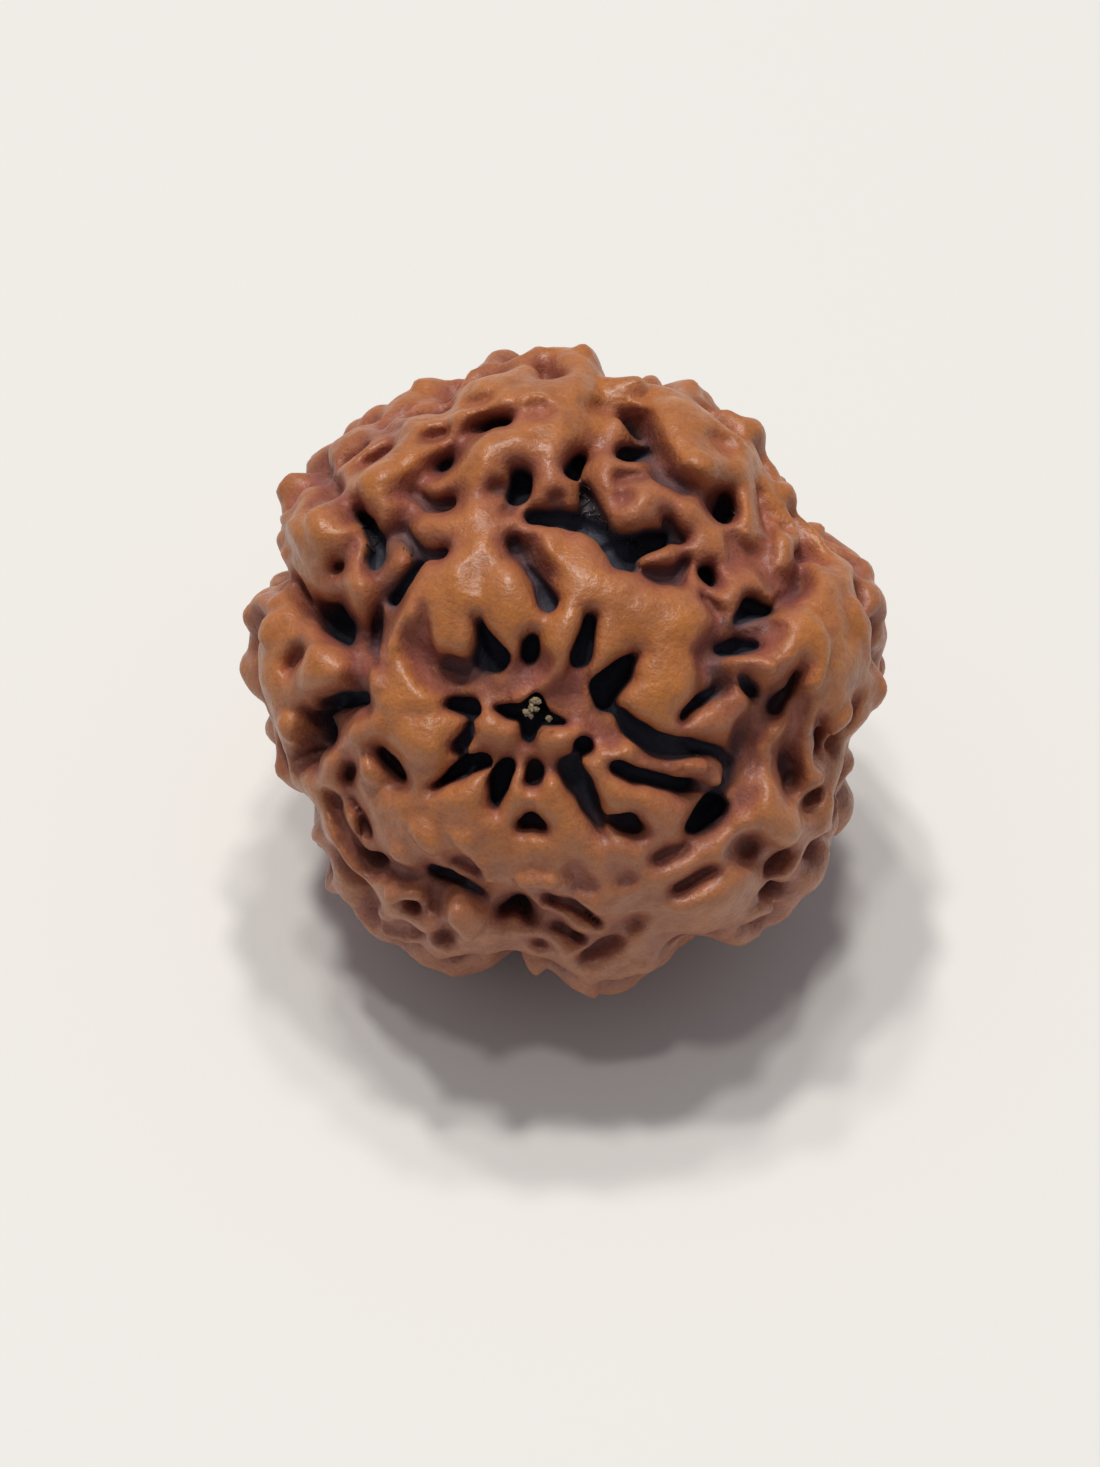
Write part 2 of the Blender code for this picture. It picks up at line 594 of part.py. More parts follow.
def clear_scene():
    """An empty scene to build in."""
    for thing in list(bpy.data.objects):
        bpy.data.objects.remove(thing, do_unlink=True)


def main():
    clear_scene()
    make_bead(stone_material())


main()
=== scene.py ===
"""The looks of a rudraksha bead: its fine relief, its finish, a pale table, soft light and the camera.

The bead is worked out as a field in space, in millimetres from its middle: a lobed ball with knobs,
less its pits, its star mouth and its channel. The field's skin is the bead's mesh.
"""

import math

import bmesh
import bpy
import numpy as np
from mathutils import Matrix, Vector
from mathutils.bvhtree import BVHTree


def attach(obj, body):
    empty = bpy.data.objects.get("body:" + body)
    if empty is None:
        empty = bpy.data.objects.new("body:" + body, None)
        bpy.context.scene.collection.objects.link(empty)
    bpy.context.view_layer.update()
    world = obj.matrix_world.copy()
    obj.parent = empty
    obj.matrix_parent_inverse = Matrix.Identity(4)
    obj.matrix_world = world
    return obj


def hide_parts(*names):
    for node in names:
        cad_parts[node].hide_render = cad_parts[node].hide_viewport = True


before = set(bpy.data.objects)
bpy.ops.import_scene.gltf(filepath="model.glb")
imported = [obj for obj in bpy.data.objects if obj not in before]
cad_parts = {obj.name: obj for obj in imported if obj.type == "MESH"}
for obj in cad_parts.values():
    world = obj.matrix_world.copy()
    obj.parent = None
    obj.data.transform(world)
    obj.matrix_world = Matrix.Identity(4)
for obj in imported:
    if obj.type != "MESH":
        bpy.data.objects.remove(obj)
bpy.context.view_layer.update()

MM = 0.001

# Driving sizes, the same as the bead's own
BALL = 10.5
POLE_RADIUS = 9.9
REST_SPOT_RADIUS = 2.0
REST_BALL = 10.3
REST_CLEAR = 3.4
REST_FADE = (2.2, 4.6)
MIDDLE_HEIGHT = math.sqrt(REST_BALL ** 2 - REST_SPOT_RADIUS ** 2)
MIDDLE = np.array((0.0, 0.0, MIDDLE_HEIGHT))
MOUTH_SINK = 3.0
CORE_HALF = 0.34

# The face that shows the star mouth, and how far away it was read from
FACE_ELEVATION = math.radians(50.0)
READ_FROM = 150.0
TOWARDS = np.array((0.0, -math.cos(FACE_ELEVATION), math.sin(FACE_ELEVATION)))
ACROSS_FACE = np.array((1.0, 0.0, 0.0))
UP_FACE = np.array((0.0, math.sin(FACE_ELEVATION), math.cos(FACE_ELEVATION)))
EYE = MIDDLE + TOWARDS * READ_FROM
STAR_MIDDLE = (-1.35, -1.65)

# The field and its skin
FIELD_STEP = 0.13
FIELD_EDGE = 12.2
CORE_RADIUS = 6.4
SKIN_TRIANGLES = 192000
KNOBS_IN_OUTLINE = 0.25
SHARPNESS = 4.0
UNDULATIONS = ((2.1, 0.22), (0.95, 0.13), (0.45, 0.06))
WOBBLE = 0.055
WOBBLE_TURNS = (3.3, 8.7)
WOBBLE_STARTS = ((0.4, 1.9, 3.1), (2.2, 0.7, 4.4))
QUICK_WOBBLE_SHARE = 0.45
LIP_ROUND = 0.5
KNOB_REACH = 0.2
SADDLE_REACH = 0.5
SADDLE_EDGE = 0.45
SADDLE_FALL = 0.65
BOWL_REACH = 1.3
BOWL_FULL_FROM = 2.0
BOWL_FALL = 0.42
BOWL_DEPTH = 0.95
BOWL_BY_STAR = 0.22
BOWLS_FROM_STAR = (3.5, 6.5)
ROUNDING = (0.25, 0.5, 0.25)
FIELD_CLIP = 1.2
OUTSIDE = 9.0
PIT_REACH = 0.7
PIT_BLEND = 0.14
PIT_LEAN = 0.75
LEAN_FADE = (0.1, 0.5)
LEAN_LEAST_FACING = 0.45
CROWN_LIFT = 0.25
PIT_NARROWING = 0.03
WIDER_BY_STAR = 0.06
FLOOR_ROUND = 0.5
FUNNEL = 0.30
FUNNEL_BY_STAR = 0.10
FUNNEL_DEPTH = 0.6
CHANNEL_ROUND = 0.3
BROAD_ROUNDS = 6
BEND_ROUNDS = 2
SEED = 108
LATTICE_TURNS = (127.1, 311.7, 74.7)
LATTICE_SPREAD = 43758.5453

# The bead's outline round the face: degrees from the right, anticlockwise, and radius.
# Its low places are the clefts that run from pole to pole.
OUTLINE = (
    (0, 10.80), (10, 11.06), (20, 10.70), (28, 10.10), (36, 9.56), (45, 9.85), (55, 10.45), (65, 10.70),
    (73, 10.35), (79, 10.00), (86, 10.80), (102, 11.10), (112, 10.50), (120, 11.00), (130, 11.20),
    (142, 11.75), (147, 11.60), (154, 10.75), (160, 10.20), (166, 10.80), (178, 10.90), (188, 10.50),
    (199, 10.50), (208, 10.07), (216, 10.45), (224, 11.10), (236, 11.30), (248, 11.35), (255, 10.60),
    (261, 10.10), (268, 10.40), (276, 11.10), (288, 10.80), (296, 10.50), (304, 11.05), (315, 11.20),
    (330, 10.80), (340, 10.30), (348, 10.00), (355, 10.65),
)
CLEFTS = (35, 80, 112, 160, 208, 260, 297, 350)

# Pits and slots, read on the face: (stops, depth), and each stop is
# (across, up, half width). A slot runs through its stops.
PITS_BY_THE_STAR = (
    (((-3.07, 1.75, .08), (-2.82, 1.05, .25), (-2.6, .45, .45)), 3.0),
    (((-3.0, 1.1, .12), (-3.12, .35, .3)), 2.4),
    (((-4.3, .3, .25), (-3.75, 0, .36), (-3.1, .05, .3)), 1.7),
    (((-1.2, 1.1, .15), (-1.32, .8, .28), (-1.45, .45, .25)), 2.6),
    (((.86, 1.9, .16), (.72, 1.2, .22), (.4, .4, .34)), 2.6),
    (((2.35, .5, .1), (1.9, -.05, .42), (1.4, -.6, .5), (1.4, -1.15, .3)), 3.2),
    (((.3, -.1, .35), (.5, -.6, .3)), 1.2),
    (((1.9, -1.5, .2), (2.25, -2.1, .3), (3.1, -2.6, .38), (4.3, -2.75, .34), (5.4, -2.85, .2)), 2.4),
    (((-4.1, -1.25, .2), (-3.4, -1.45, .33)), 2.6),
    (((-3.45, -2.15, .15), (-3.88, -2.75, .24)), 2.4),
    (((-4.7, -4.1, .04), (-3.73, -3.58, .33), (-3.0, -3.18, .26)), 3.0),
    (((-2.15, -3.4, .28), (-2.35, -4.0, .36), (-2.5, -4.8, .12)), 3.0),
    (((-1.1, -3.5, .28), (-1.15, -3.95, .26)), 2.2),
    (((.55, -2.75, .32),), 2.6),
    (((.1, -3.4, .35), (.55, -4.1, .42), (.95, -5.0, .28), (1.2, -5.6, .08)), 2.3),
    (((1.75, -3.32, .2), (2.5, -3.78, .24), (3.3, -3.9, .26), (4.3, -4.15, .22)), 2.6),
    (((-1.5, -5.45, .22), (-1.2, -5.3, .28), (-.95, -5.45, .22)), 2.0),
    (((1.6, -5.15, .16), (2.15, -5.35, .38), (2.4, -5.55, .3)), 2.2),
    (((4.6, -5.45, .45), (5.1, -4.9, .6)), 3.0),
    (((5.35, -2.85, .24), (5.75, -3.3, .22), (5.6, -3.85, .2), (5.3, -4.3, .26)), 2.2),
    (((4.4, -4.12, .2), (4.9, -4.15, .16), (5.3, -4.4, .2)), 1.8),
)
PITS_ON_THE_RIGHT = (
    (((5.1, -.8, .18), (4.7, -1.1, .25), (4.12, -1.65, .14)), 2.4),
    (((4.85, .6, .18), (4.95, -.1, .16), (4.95, -.5, .12)), 1.3),
    (((5.4, .8, .22), (5.95, .9, .34), (6.6, .8, .18)), 2.6),
    (((6.0, -.15, .12), (6.2, -.45, .26), (6.5, -.75, .26)), 2.2),
    (((6.15, -1.9, .28), (6.0, -2.5, .26)), 1.5),
    (((5.6, -3.5, .24), (5.65, -3.0, .22)), 1.3),
    (((5.65, -1.2, .1), (5.82, -1.22, .08)), 0.7),
    (((5.85, 1.75, .14), (6.5, 2.2, .4), (7.2, 2.15, .15)), 2.4),
    (((7.35, 2.4, .2), (8.1, 2.9, .25)), 1.6),
    (((4.85, 2.5, .14), (5.15, 2.1, .2)), 1.6),
    (((4.95, 3.5, .3), (5.2, 3.1, .22)), 2.6),
    (((5.75, 3.75, .18),), 0.9),
    (((2.85, 3.5, .2), (3.3, 3.45, .34), (3.9, 3.42, .38), (4.2, 3.9, .22)), 1.8),
    (((8.05, 4.0, .2), (8.8, 4.2, .22)), 1.5),
    (((7.9, .1, .12), (7.75, -.5, .2), (7.3, -1.2, .32)), 2.0),
    (((8.7, -1.75, .14), (8.7, -2.1, .26), (8.7, -2.6, .2)), 1.5),
    (((7.55, -2.85, .2), (7.6, -3.3, .28), (7.75, -3.8, .26)), 1.8),
    (((8.35, -4.45, .24), (8.6, -4.3, .16)), 1.3),
    (((6.2, -5.9, .18), (6.2, -6.2, .2)), 1.4),
    (((7.0, -6.8, .28), (7.5, -6.3, .26)), 1.5),
    (((9.3, -2.35, .22),), 1.0),
    (((9.8, -1.0, .16), (9.75, -1.5, .1)), 0.8),
)
PITS_AT_THE_TOP = (
    (((5.5, 6.15, .2), (5.45, 5.55, .38)), 2.4),
    (((3.5, 5.3, .2), (3.75, 4.85, .3), (4.05, 4.75, .2)), 2.0),
    (((3.2, 6.7, .25), (3.9, 6.35, .22)), 1.8),
    (((5.3, 7.7, .35),), 0.6),
    (((6.75, 6.4, .06), (6.9, 5.2, .1), (7.0, 4.1, .08)), 1.0),
    (((7.2, 5.65, .12),), 0.6),
    (((7.75, 5.05, .12),), 0.6),
    (((2.2, 8.85, .28), (2.5, 8.35, .28)), 2.4),
    (((2.05, 7.55, .4), (2.7, 7.6, .22)), 2.4),
    (((3.1, 7.25, .15),), 1.0),
    (((1.75, 6.6, .2), (2.55, 6.7, .2)), 1.4),
    (((1.92, 5.9, .2),), 1.2),
    (((.42, 7.4, .25), (.08, 6.88, .3)), 2.6),
    (((.45, 6.5, .15), (.75, 5.9, .3), (1.0, 5.2, .4)), 2.2),
    (((-1.7, 6.7, .35), (-1.75, 6.1, .42)), 3.0),
    (((-2.45, 6.2, .3),), 1.5),
    (((-2.0, 5.6, .2),), 1.6),
    (((-1.25, 5.35, .3), (-.4, 5.35, .38), (.4, 5.25, .4), (1.1, 4.95, .35), (1.6, 4.5, .35)), 2.8),
    (((-.4, 5.85, .3),), 1.5),
    (((1.6, 4.4, .35), (2.4, 4.45, .45), (3.2, 4.75, .33), (3.5, 4.95, .15)), 3.4),
    (((1.8, 3.9, .28), (2.3, 3.75, .25)), 2.8),
    (((-2.6, 8.45, .28), (-2.15, 8.5, .3)), 2.4),
    (((-3.3, 8.3, .15), (-2.8, 8.45, .2)), 1.0),
    (((-1.05, 8.65, .42),), 0.7),
    (((-3.3, 9.0, .08), (-2.9, 9.08, .1)), 0.6),
    (((1.0, 9.0, .13),), 0.6),
    (((2.48, 9.46, .12),), 0.5),
    (((-4.31, 7.16, .3),), 2.2),
    (((-4.7, 7.95, .15), (-4.3, 8.05, .18)), 1.0),
    (((-4.8, 9.1, .14), (-4.25, 9.0, .1)), 0.8),
    (((-1.95, 4.5, .22), (-1.85, 4.2, .18)), 2.0),
    (((-1.6, 3.9, .1), (-1.1, 3.15, .18), (-.67, 2.45, .33)), 2.3),
)
PITS_ON_THE_LEFT = (
    (((-6.35, 8.2, .1), (-5.85, 8.1, .12)), 0.7),
    (((-7.0, 7.6, .08), (-6.4, 7.8, .1)), 0.6),
    (((-6.8, 7.05, .15), (-6.25, 7.4, .22)), 1.4),
    (((-5.4, 6.1, .16), (-4.8, 5.75, .28), (-4.2, 5.8, .28)), 1.8),
    (((-8.0, 6.9, .12), (-7.95, 5.9, .2)), 1.4),
    (((-8.3, 5.5, .2),), 0.8),
    (((-9.2, 6.7, .06), (-9.05, 6.1, .1)), 0.8),
    (((-7.2, 5.35, .15), (-6.9, 5.0, .25), (-6.5, 4.35, .3), (-6.65, 3.8, .38)), 2.6),
    (((-7.2, 4.2, .32),), 1.0),
    (((-5.75, 4.85, .16), (-5.5, 4.45, .24), (-5.3, 4.1, .24)), 2.0),
    (((-5.3, 3.95, .22), (-4.9, 4.05, .22), (-4.35, 4.15, .22)), 2.0),
    (((-5.2, 3.75, .18), (-5.55, 3.1, .26), (-6.05, 2.5, .26)), 2.8),
    (((-7.8, 3.55, .24),), 1.6),
    (((-8.8, 2.15, .2), (-8.2, 1.8, .5), (-7.8, 1.3, .42), (-7.7, .9, .2)), 3.0),
    (((-6.55, 2.35, .12), (-6.75, 1.6, .24), (-6.8, .9, .2), (-6.45, .1, .08)), 2.0),
    (((-7.3, 0, .08), (-7.3, -.4, .1)), 0.8),
    (((-5.0, 1.95, .06), (-4.88, 1.15, .16), (-4.75, .6, .16)), 1.2),
    (((-8.4, -1.3, .25), (-7.7, -1.1, .33), (-7.1, -1.0, .22)), 2.6),
    (((-8.9, -1.6, .25), (-8.4, -2.1, .5), (-8.7, -2.6, .3)), 2.8),
    (((-9.35, -3.2, .22), (-8.9, -3.1, .22)), 1.8),
    (((-7.5, -3.4, .22), (-7.55, -3.9, .18)), 1.6),
    (((-6.45, -2.85, .15), (-6.1, -3.3, .28), (-5.85, -3.75, .2)), 2.0),
    (((-9.5, 3.0, .08), (-9.2, 2.6, .15), (-9.0, 2.1, .12)), 1.4),
    (((-9.1, .5, .12), (-9.5, .1, .15)), 1.2),
)
PITS_AT_THE_BOTTOM = (
    (((-7.4, -4.6, .1), (-7.1, -5.0, .16), (-6.9, -5.6, .24)), 1.4),
    (((-6.9, -6.65, .32), (-6.4, -6.5, .28)), 2.4),
    (((-6.7, -7.7, .2), (-6.5, -8.2, .28)), 1.2),
    (((-5.9, -8.8, .12), (-5.45, -9.15, .2)), 1.0),
    (((-5.7, -7.05, .14), (-5.0, -7.15, .22)), 1.2),
    (((-5.15, -8.05, .24),), 1.4),
    (((-3.85, -6.6, .16), (-3.55, -6.65, .22), (-3.25, -6.9, .22)), 1.4),
    (((-4.55, -6.95, .28), (-3.9, -7.2, .3), (-3.1, -7.7, .24)), 2.2),
    (((-4.5, -7.6, .2), (-4.45, -8.1, .14)), 1.4),
    (((-3.95, -8.75, .24), (-4.1, -9.1, .28)), 1.1),
    (((-2.25, -8.35, .22), (-1.65, -8.1, .3), (-1.35, -8.6, .16)), 2.2),
    (((-.75, -7.8, .18), (.1, -8.05, .26), (1.0, -8.6, .12)), 1.6),
    (((-.3, -8.75, .2), (.4, -9.2, .2)), 1.5),
    (((.7, -9.75, .22), (1.45, -9.4, .28)), 1.2),
    (((-.95, -9.4, .16),), 1.0),
    (((1.7, -8.65, .14), (2.2, -8.6, .14)), 0.7),
    (((.2, -6.85, .12), (.6, -7.35, .24)), 0.8),
    (((2.02, -7.1, .12),), 0.7),
    (((1.7, -6.75, .08),), 0.4),
    (((3.8, -7.4, .2), (4.4, -7.15, .24), (4.95, -6.85, .16)), 1.3),
    (((3.2, -6.45, .22), (3.5, -6.2, .2), (4.1, -6.15, .16)), 1.3),
)
PITS = PITS_BY_THE_STAR + PITS_ON_THE_RIGHT + PITS_AT_THE_TOP + PITS_ON_THE_LEFT + PITS_AT_THE_BOTTOM

# The star mouth's four arms, read the same way
STAR_ARMS = (
    ((-2.6, -1.34, .08), (-1.98, -1.52, .3), (-1.4, -1.7, .24)),
    ((-1.06, -.9, .12), (-1.28, -1.4, .22), (-1.35, -1.7, .24)),
    ((-.05, -1.95, .06), (-.65, -1.75, .22), (-1.3, -1.7, .22)),
    ((-1.45, -2.5, .2), (-1.4, -2.15, .28), (-1.38, -1.8, .24)),
)

# Knobs and fingers that stand up from the envelope: (stops, height)
KNOBS = (
    (((7.9, 1.6, .9), (7.7, .4, .9)), 0.45),
    (((-8.5, .1, .95),), 0.5),
    (((-7.0, .5, .4), (-6.85, -.5, .42)), 0.3),
    (((-10.1, 2.4, .9),), 0.45),
    (((-9.9, 1.3, .6),), 0.35),
    (((-6.95, -3.6, .6),), 0.35),
    (((-5.2, -2.6, .9),), 0.25),
    (((2.6, 5.7, .8),), 0.3),
    (((7.3, -4.9, 1.0),), 0.4),
    (((8.8, -5.1, .8),), 0.35),
    (((8.3, -3.3, .9),), 0.3),
    (((-3.4, -8.3, .9),), 0.4),
    (((-5.4, -7.5, .7),), 0.3),
    (((-7.3, -5.6, .8),), 0.3),
    (((5.7, -4.3, .3),), 0.2),
    (((5.6, -.2, .3), (6.3, .25, .4)), 0.3),
    (((3.9, -3.3, .3), (4.8, -3.45, .42)), 0.3),
    (((-1.0, 8.65, .95),), 0.35),
    (((-6.3, 6.2, .9),), 0.3),
    (((4.6, 6.9, .9),), 0.3),
    (((7.9, 4.9, .8),), 0.3),
    (((1.9, 9.9, .8),), 0.55),
    (((2.0, 9.0, .5),), 0.4),
    (((-1.9, 10.5, .9),), 0.4),
    (((-8.7, 6.0, .9),), 0.6),
    (((-8.1, -6.8, .8),), 0.5),
    (((-10.0, -3.1, .7),), 0.3),
    (((3.8, 9.8, .9),), 0.35),
    (((-5.0, -5.6, .45), (-4.6, -6.2, .4)), 0.4),
    (((-3.6, -6.0, .45), (-3.5, -6.5, .35)), 0.3),
    (((-5.8, -6.3, .4), (-5.5, -6.75, .38)), 0.35),
    (((-3.0, -6.9, .4), (-2.8, -7.35, .35)), 0.5),
    (((-5.8, -7.5, .4), (-5.4, -7.65, .35)), 0.5),
    (((-3.9, -7.5, .3), (-3.7, -8.1, .45), (-3.25, -8.75, .4)), 0.65),
    (((-1.5, -7.5, .35), (-.6, -7.4, .35)), 0.5),
    (((-1.1, -8.4, .3), (-.9, -8.75, .28)), 0.3),
    (((.5, -8.0, .35), (1.1, -8.4, .3)), 0.3),
    (((6.2, 1.9, .35), (7.5, 1.95, .45), (8.3, 1.0, .45), (8.1, -.4, .4)), 0.45),
    (((9.5, 1.9, .6), (9.9, .6, .5)), 0.35),
    (((9.4, -1.5, .45), (8.9, -2.6, .4)), 0.35),
    (((4.4, -3.35, .32), (5.0, -3.5, .42)), 0.55),
    (((5.75, -4.25, .3),), 0.4),
    (((5.6, .25, .3), (6.5, .45, .3), (6.8, .1, .35)), 0.5),
    (((5.4, -.3, .25), (5.8, -1.0, .28)), 0.4),
    (((7.0, -4.4, .7), (7.4, -5.4, .7)), 0.4),
    (((8.7, -3.8, .45), (8.9, -5.0, .5)), 0.35),
    (((-9.7, 3.6, .6), (-9.9, 2.4, .5)), 0.35),
    (((-7.8, 4.9, .6), (-7.9, 4.3, .5)), 0.35),
    (((-8.9, -.2, .7), (-7.9, -.1, .5)), 0.4),
    (((-9.6, -1.9, .45), (-9.4, -2.6, .4)), 0.3),
    (((-7.4, -2.3, .5), (-6.7, -2.0, .45)), 0.4),
)

# Saddles and bridges that lie lower than the crown: (stops, depth)
SADDLES = (
    (((-5.4, 1.1, .3), (-4.8, -.1, .4), (-3.6, -.7, .35), (-2.2, -.5, .4), (-1.1, .05, .4)), 0.9),
    (((-.2, -.9, .5), (.7, -1.5, .5), (1.5, -2.1, .4)), 0.9),
    (((-1.4, 4.2, .25), (-.9, 3.5, .25)), 1.0),
    (((-5.6, 5.3, .4),), 0.6),
    (((6.4, 1.5, .3), (6.9, 1.5, .3)), 0.7),
    (((3.4, -3.2, .3), (2.9, -3.05, .3)), 0.5),
    (((-2.9, -2.9, .3), (-1.7, -3.0, .3), (-.2, -3.2, .3)), 0.5),
    (((5.2, .2, .3), (5.3, -.6, .3)), 0.8),
    (((6.3, -3.3, .5), (6.2, -4.3, .4)), 0.5),
    (((-7.9, 1.7, .4), (-7.1, .6, .4), (-7.3, -1.0, .35), (-8.5, -2.1, .4), (-9.1, -2.8, .3)), 0.65),
    (((-6.0, 4.6, .3), (-6.4, 3.5, .35), (-6.0, 2.4, .35), (-6.5, 1.2, .3)), 0.65),
    (((6.9, 1.5, .35), (5.5, 1.6, .3), (4.9, .4, .3), (5.0, -.4, .25)), 0.6),
    (((7.5, -.2, .3), (6.8, -1.5, .45), (6.2, -2.7, .4)), 0.6),
    (((8.0, -1.2, .3), (7.7, -2.6, .35), (7.8, -3.8, .3)), 0.5),
    (((-7.0, -6.5, .35), (-5.3, -7.1, .3), (-3.6, -7.6, .3), (-1.8, -8.1, .3), (-.2, -8.5, .2)), 0.4),
    (((-8.1, -4.5, .3), (-7.5, -5.9, .35), (-6.9, -6.7, .3)), 0.7),
    (((2.3, 8.8, .3), (2.8, 7.6, .35), (3.6, 6.7, .3), (5.3, 5.8, .35)), 0.8),
    (((5.9, 4.4, .3), (7.2, 3.2, .3), (8.2, 3.3, .3)), 0.6),
    (((-5.6, 6.0, .3), (-4.5, 7.0, .35), (-3.0, 8.3, .3)), 0.6),
    (((-8.2, 6.6, .3), (-7.3, 5.3, .35)), 0.6),
    (((8.3, 5.6, .3), (8.7, 4.2, .3)), 0.5),
    (((5.9, -6.0, .35), (7.2, -6.5, .35)), 0.6),
    (((1.4, -9.3, .3), (2.4, -8.6, .25)), 0.35),
)

# Loose remains in the relief: crumbs of pith in the star mouth as (across, up, size), and shreds
# of dried pulp in the deepest pits as (across, up, length, heading in degrees)
CRUMBS = (
    (-1.17, -1.16, 0.25), (-1.30, -1.36, 0.27), (-1.12, -1.44, 0.20), (-1.46, -1.56, 0.22),
    (-1.32, -1.68, 0.18), (-0.68, -1.77, 0.19),
)
CRUMB_SINK = 0.8
CRUMB_SHAPE = (1.2, 0.95, 0.8)
# Lumps of a crumb of width one: how wide, how high, and how far on the next crumb's lumps are read
CRUMB_LUMPS = ((0.8, 0.42, 7.0), (0.33, 0.26, 5.0))
SHREDS = (
    (0.55, 5.75, 0.5, 100), (0.75, 5.45, 0.6, 60), (1.1, 5.1, 0.5, 20), (0.4, 5.2, 0.4, 150),
    (0.9, 5.2, 0.4, 120), (1.3, 4.85, 0.5, -30), (0.6, 6.1, 0.4, 80), (1.5, 4.6, 0.4, 40),
    (-6.75, 4.75, 0.5, 130), (-6.45, 4.4, 0.4, 110), (-6.6, 4.1, 0.4, 20), (-5.35, 4.0, 0.4, 20),
    (5.45, 5.35, 0.4, 70), (5.4, 5.6, 0.3, 10), (-1.45, -8.1, 0.3, 80), (4.3, -2.75, 0.5, 10),
    (2.3, 4.3, 0.5, 5), (1.9, 4.35, 0.4, 60),
)
SHRED_WIDTH = 0.10
SHRED_TIP = 0.25
SHRED_FLATNESS = 0.5
SHRED_STEPS = 9
SHRED_SIDES = 8
SHRED_CURL = 0.16
SHRED_CURLS = 7.0
SHRED_STRAY = 0.03
SHRED_LIFT = 0.05

# Tones of the stone from its crown to its pits, as (share, colour) over a range of depths; the darkening with
# depth is partly the stone's own darker hollows and partly painted shade
STONE_DEPTHS = (0.25, 3.2)
STONE_TONES = (
    (0.00, (0.475, 0.155, 0.028)), (0.09, (0.460, 0.146, 0.038)), (0.19, (0.385, 0.118, 0.066)),
    (0.32, (0.290, 0.086, 0.066)), (0.50, (0.150, 0.052, 0.048)),
)
CLOUD_IN_DEPTH = 0.5
CLOUD_BROWN = (0.235, 0.070, 0.022)
BLUSH_PINK = (0.430, 0.165, 0.090)
# Painted reflection of the pale table on the bead's lower part
TABLE_REFLECTION_PINK = (0.385, 0.175, 0.128)
MOTTLE_BROWN = (0.235, 0.058, 0.020)
CREST_ORANGE = (0.560, 0.205, 0.050)
# Blue-black of the deepest pits: partly oil stain, partly painted shade
PIT_STAIN_AND_SHADE = (0.078, 0.078, 0.098)

# Noises of the stone: size in millimetres, detail and roughness
CLOUD = (1.6, 3.0, 0.55)
BLUSH = (0.9, 4.0, 0.62)
MOTTLE = (0.5, 4.0, 0.62)
WRINKLE = (0.30, 3.0, 0.60)
WRINKLE_STRENGTH = 0.9
WRINKLE_HEIGHT = 0.08

# How tones and shine follow noise, depth, height or bend: a range, and what it is moved to
CLOUD_SHARE = (0.35, 0.70, 0.0, 0.45)
BLUSH_SHARE = (0.45, 0.72, 0.0, 0.45)
# Painted reflection of the table: strongest low on the bead, gone towards the top
TABLE_REFLECTION_SHARE = (7.0, 15.5, 0.6, 0.0)
MOTTLE_SHARE = (0.45, 0.75, 0.0, 0.55)
CREST_SHARE = (0.0, 0.06, 0.0, 0.3)
GRAIN_SHADE = (0.30, 0.72, 0.82, 1.16)
# Depths over which the blue-black pit colour takes over: partly oil stain, partly painted shade
PIT_STAIN_AND_SHADE_SHARE = (1.5, 2.4)
STONE_ROUGHNESS = (0.3, 0.7, 0.32, 0.52)
STONE_SHINE = (0.3, 1.6, 0.40, 0.08)
STONE_COAT = (0.1, 0.9, 0.16, 0.0)
COAT_ROUGHNESS = 0.22

# Grain of each material: size, strength, and relief in millimetres
STONE_GRAIN = (0.11, 0.4, 0.02)
PITH_GRAIN = (0.09, 0.7, 0.04)
PULP_GRAIN = (0.12, 0.6, 0.03)
PITH_TONES = ((0.30, (0.10, 0.065, 0.035)), (0.70, (0.36, 0.27, 0.15)))
PULP_TONES = ((0.30, (0.030, 0.026, 0.024)), (0.70, (0.130, 0.105, 0.080)))
PITH_ROUGHNESS = 0.9
PULP_ROUGHNESS = 0.32

# The table, the light and the camera
TABLE_COLOUR = (0.818, 0.777, 0.708)
TABLE_ROUGHNESS = 0.6
TABLE_HALF = 0.6
TABLE_DROP = 0.02
LIGHT_DISTANCE = 0.6
LIGHT_SIZE = 0.045
AMBIENT = 0.23
ROOM_COLOUR = (0.90, 0.98, 1.16)
# Where each light stands, as slopes from the vertical to the right and to the back, and its share
# of the table's light
LIGHTS = (
    (-0.10, -0.18, 0.12),
    (-0.19, 0.135, 0.24),
    (0.09, 0.14, 0.205),
    (-0.17, 0.34, 0.145),
    (0.06, 0.34, 0.13),
)
PHOTO_SIZE = (1100, 1467)
BEAD_MIDDLE_PIXEL = (567, 670)
PIXELS_PER_MM = 29.7
SENSOR = 36.0
CLIP = (0.005, 5.0)

# The side that the face doesn't show: seeded pits in chains along the clefts and spread between them
HIDDEN_FROM = math.radians(72.0)
CLEFT_STARTS = (76.0, 84.0)
CLEFT_END = math.radians(166.0)
CLEFT_STEP = math.radians(15.5)
CLEFT_STEP_SHARES = (0.85, 1.15)
CLEFT_LENGTHS = (0.9, 1.7)
CLEFT_HALVES = (0.26, 0.42)
CLEFT_DEPTHS = (1.6, 2.9)
SLOT_TAPER = 0.8
HIDDEN_PITS = 170
HIDDEN_GAP = 1.4
HIDDEN_LENGTHS = (0.2, 1.3)
HIDDEN_HALVES = (0.26, 0.48)
HIDDEN_DEPTHS = (1.1, 2.8)
HIDDEN_KNOBS = 110
KNOB_GAP = 1.5
KNOB_RADII = (0.7, 1.1)
KNOB_HEIGHTS = (0.25, 0.5)
TRIES = 60


def unit(vectors):
    """Vectors of length one."""
    return vectors / np.linalg.norm(vectors, axis=-1, keepdims=True)


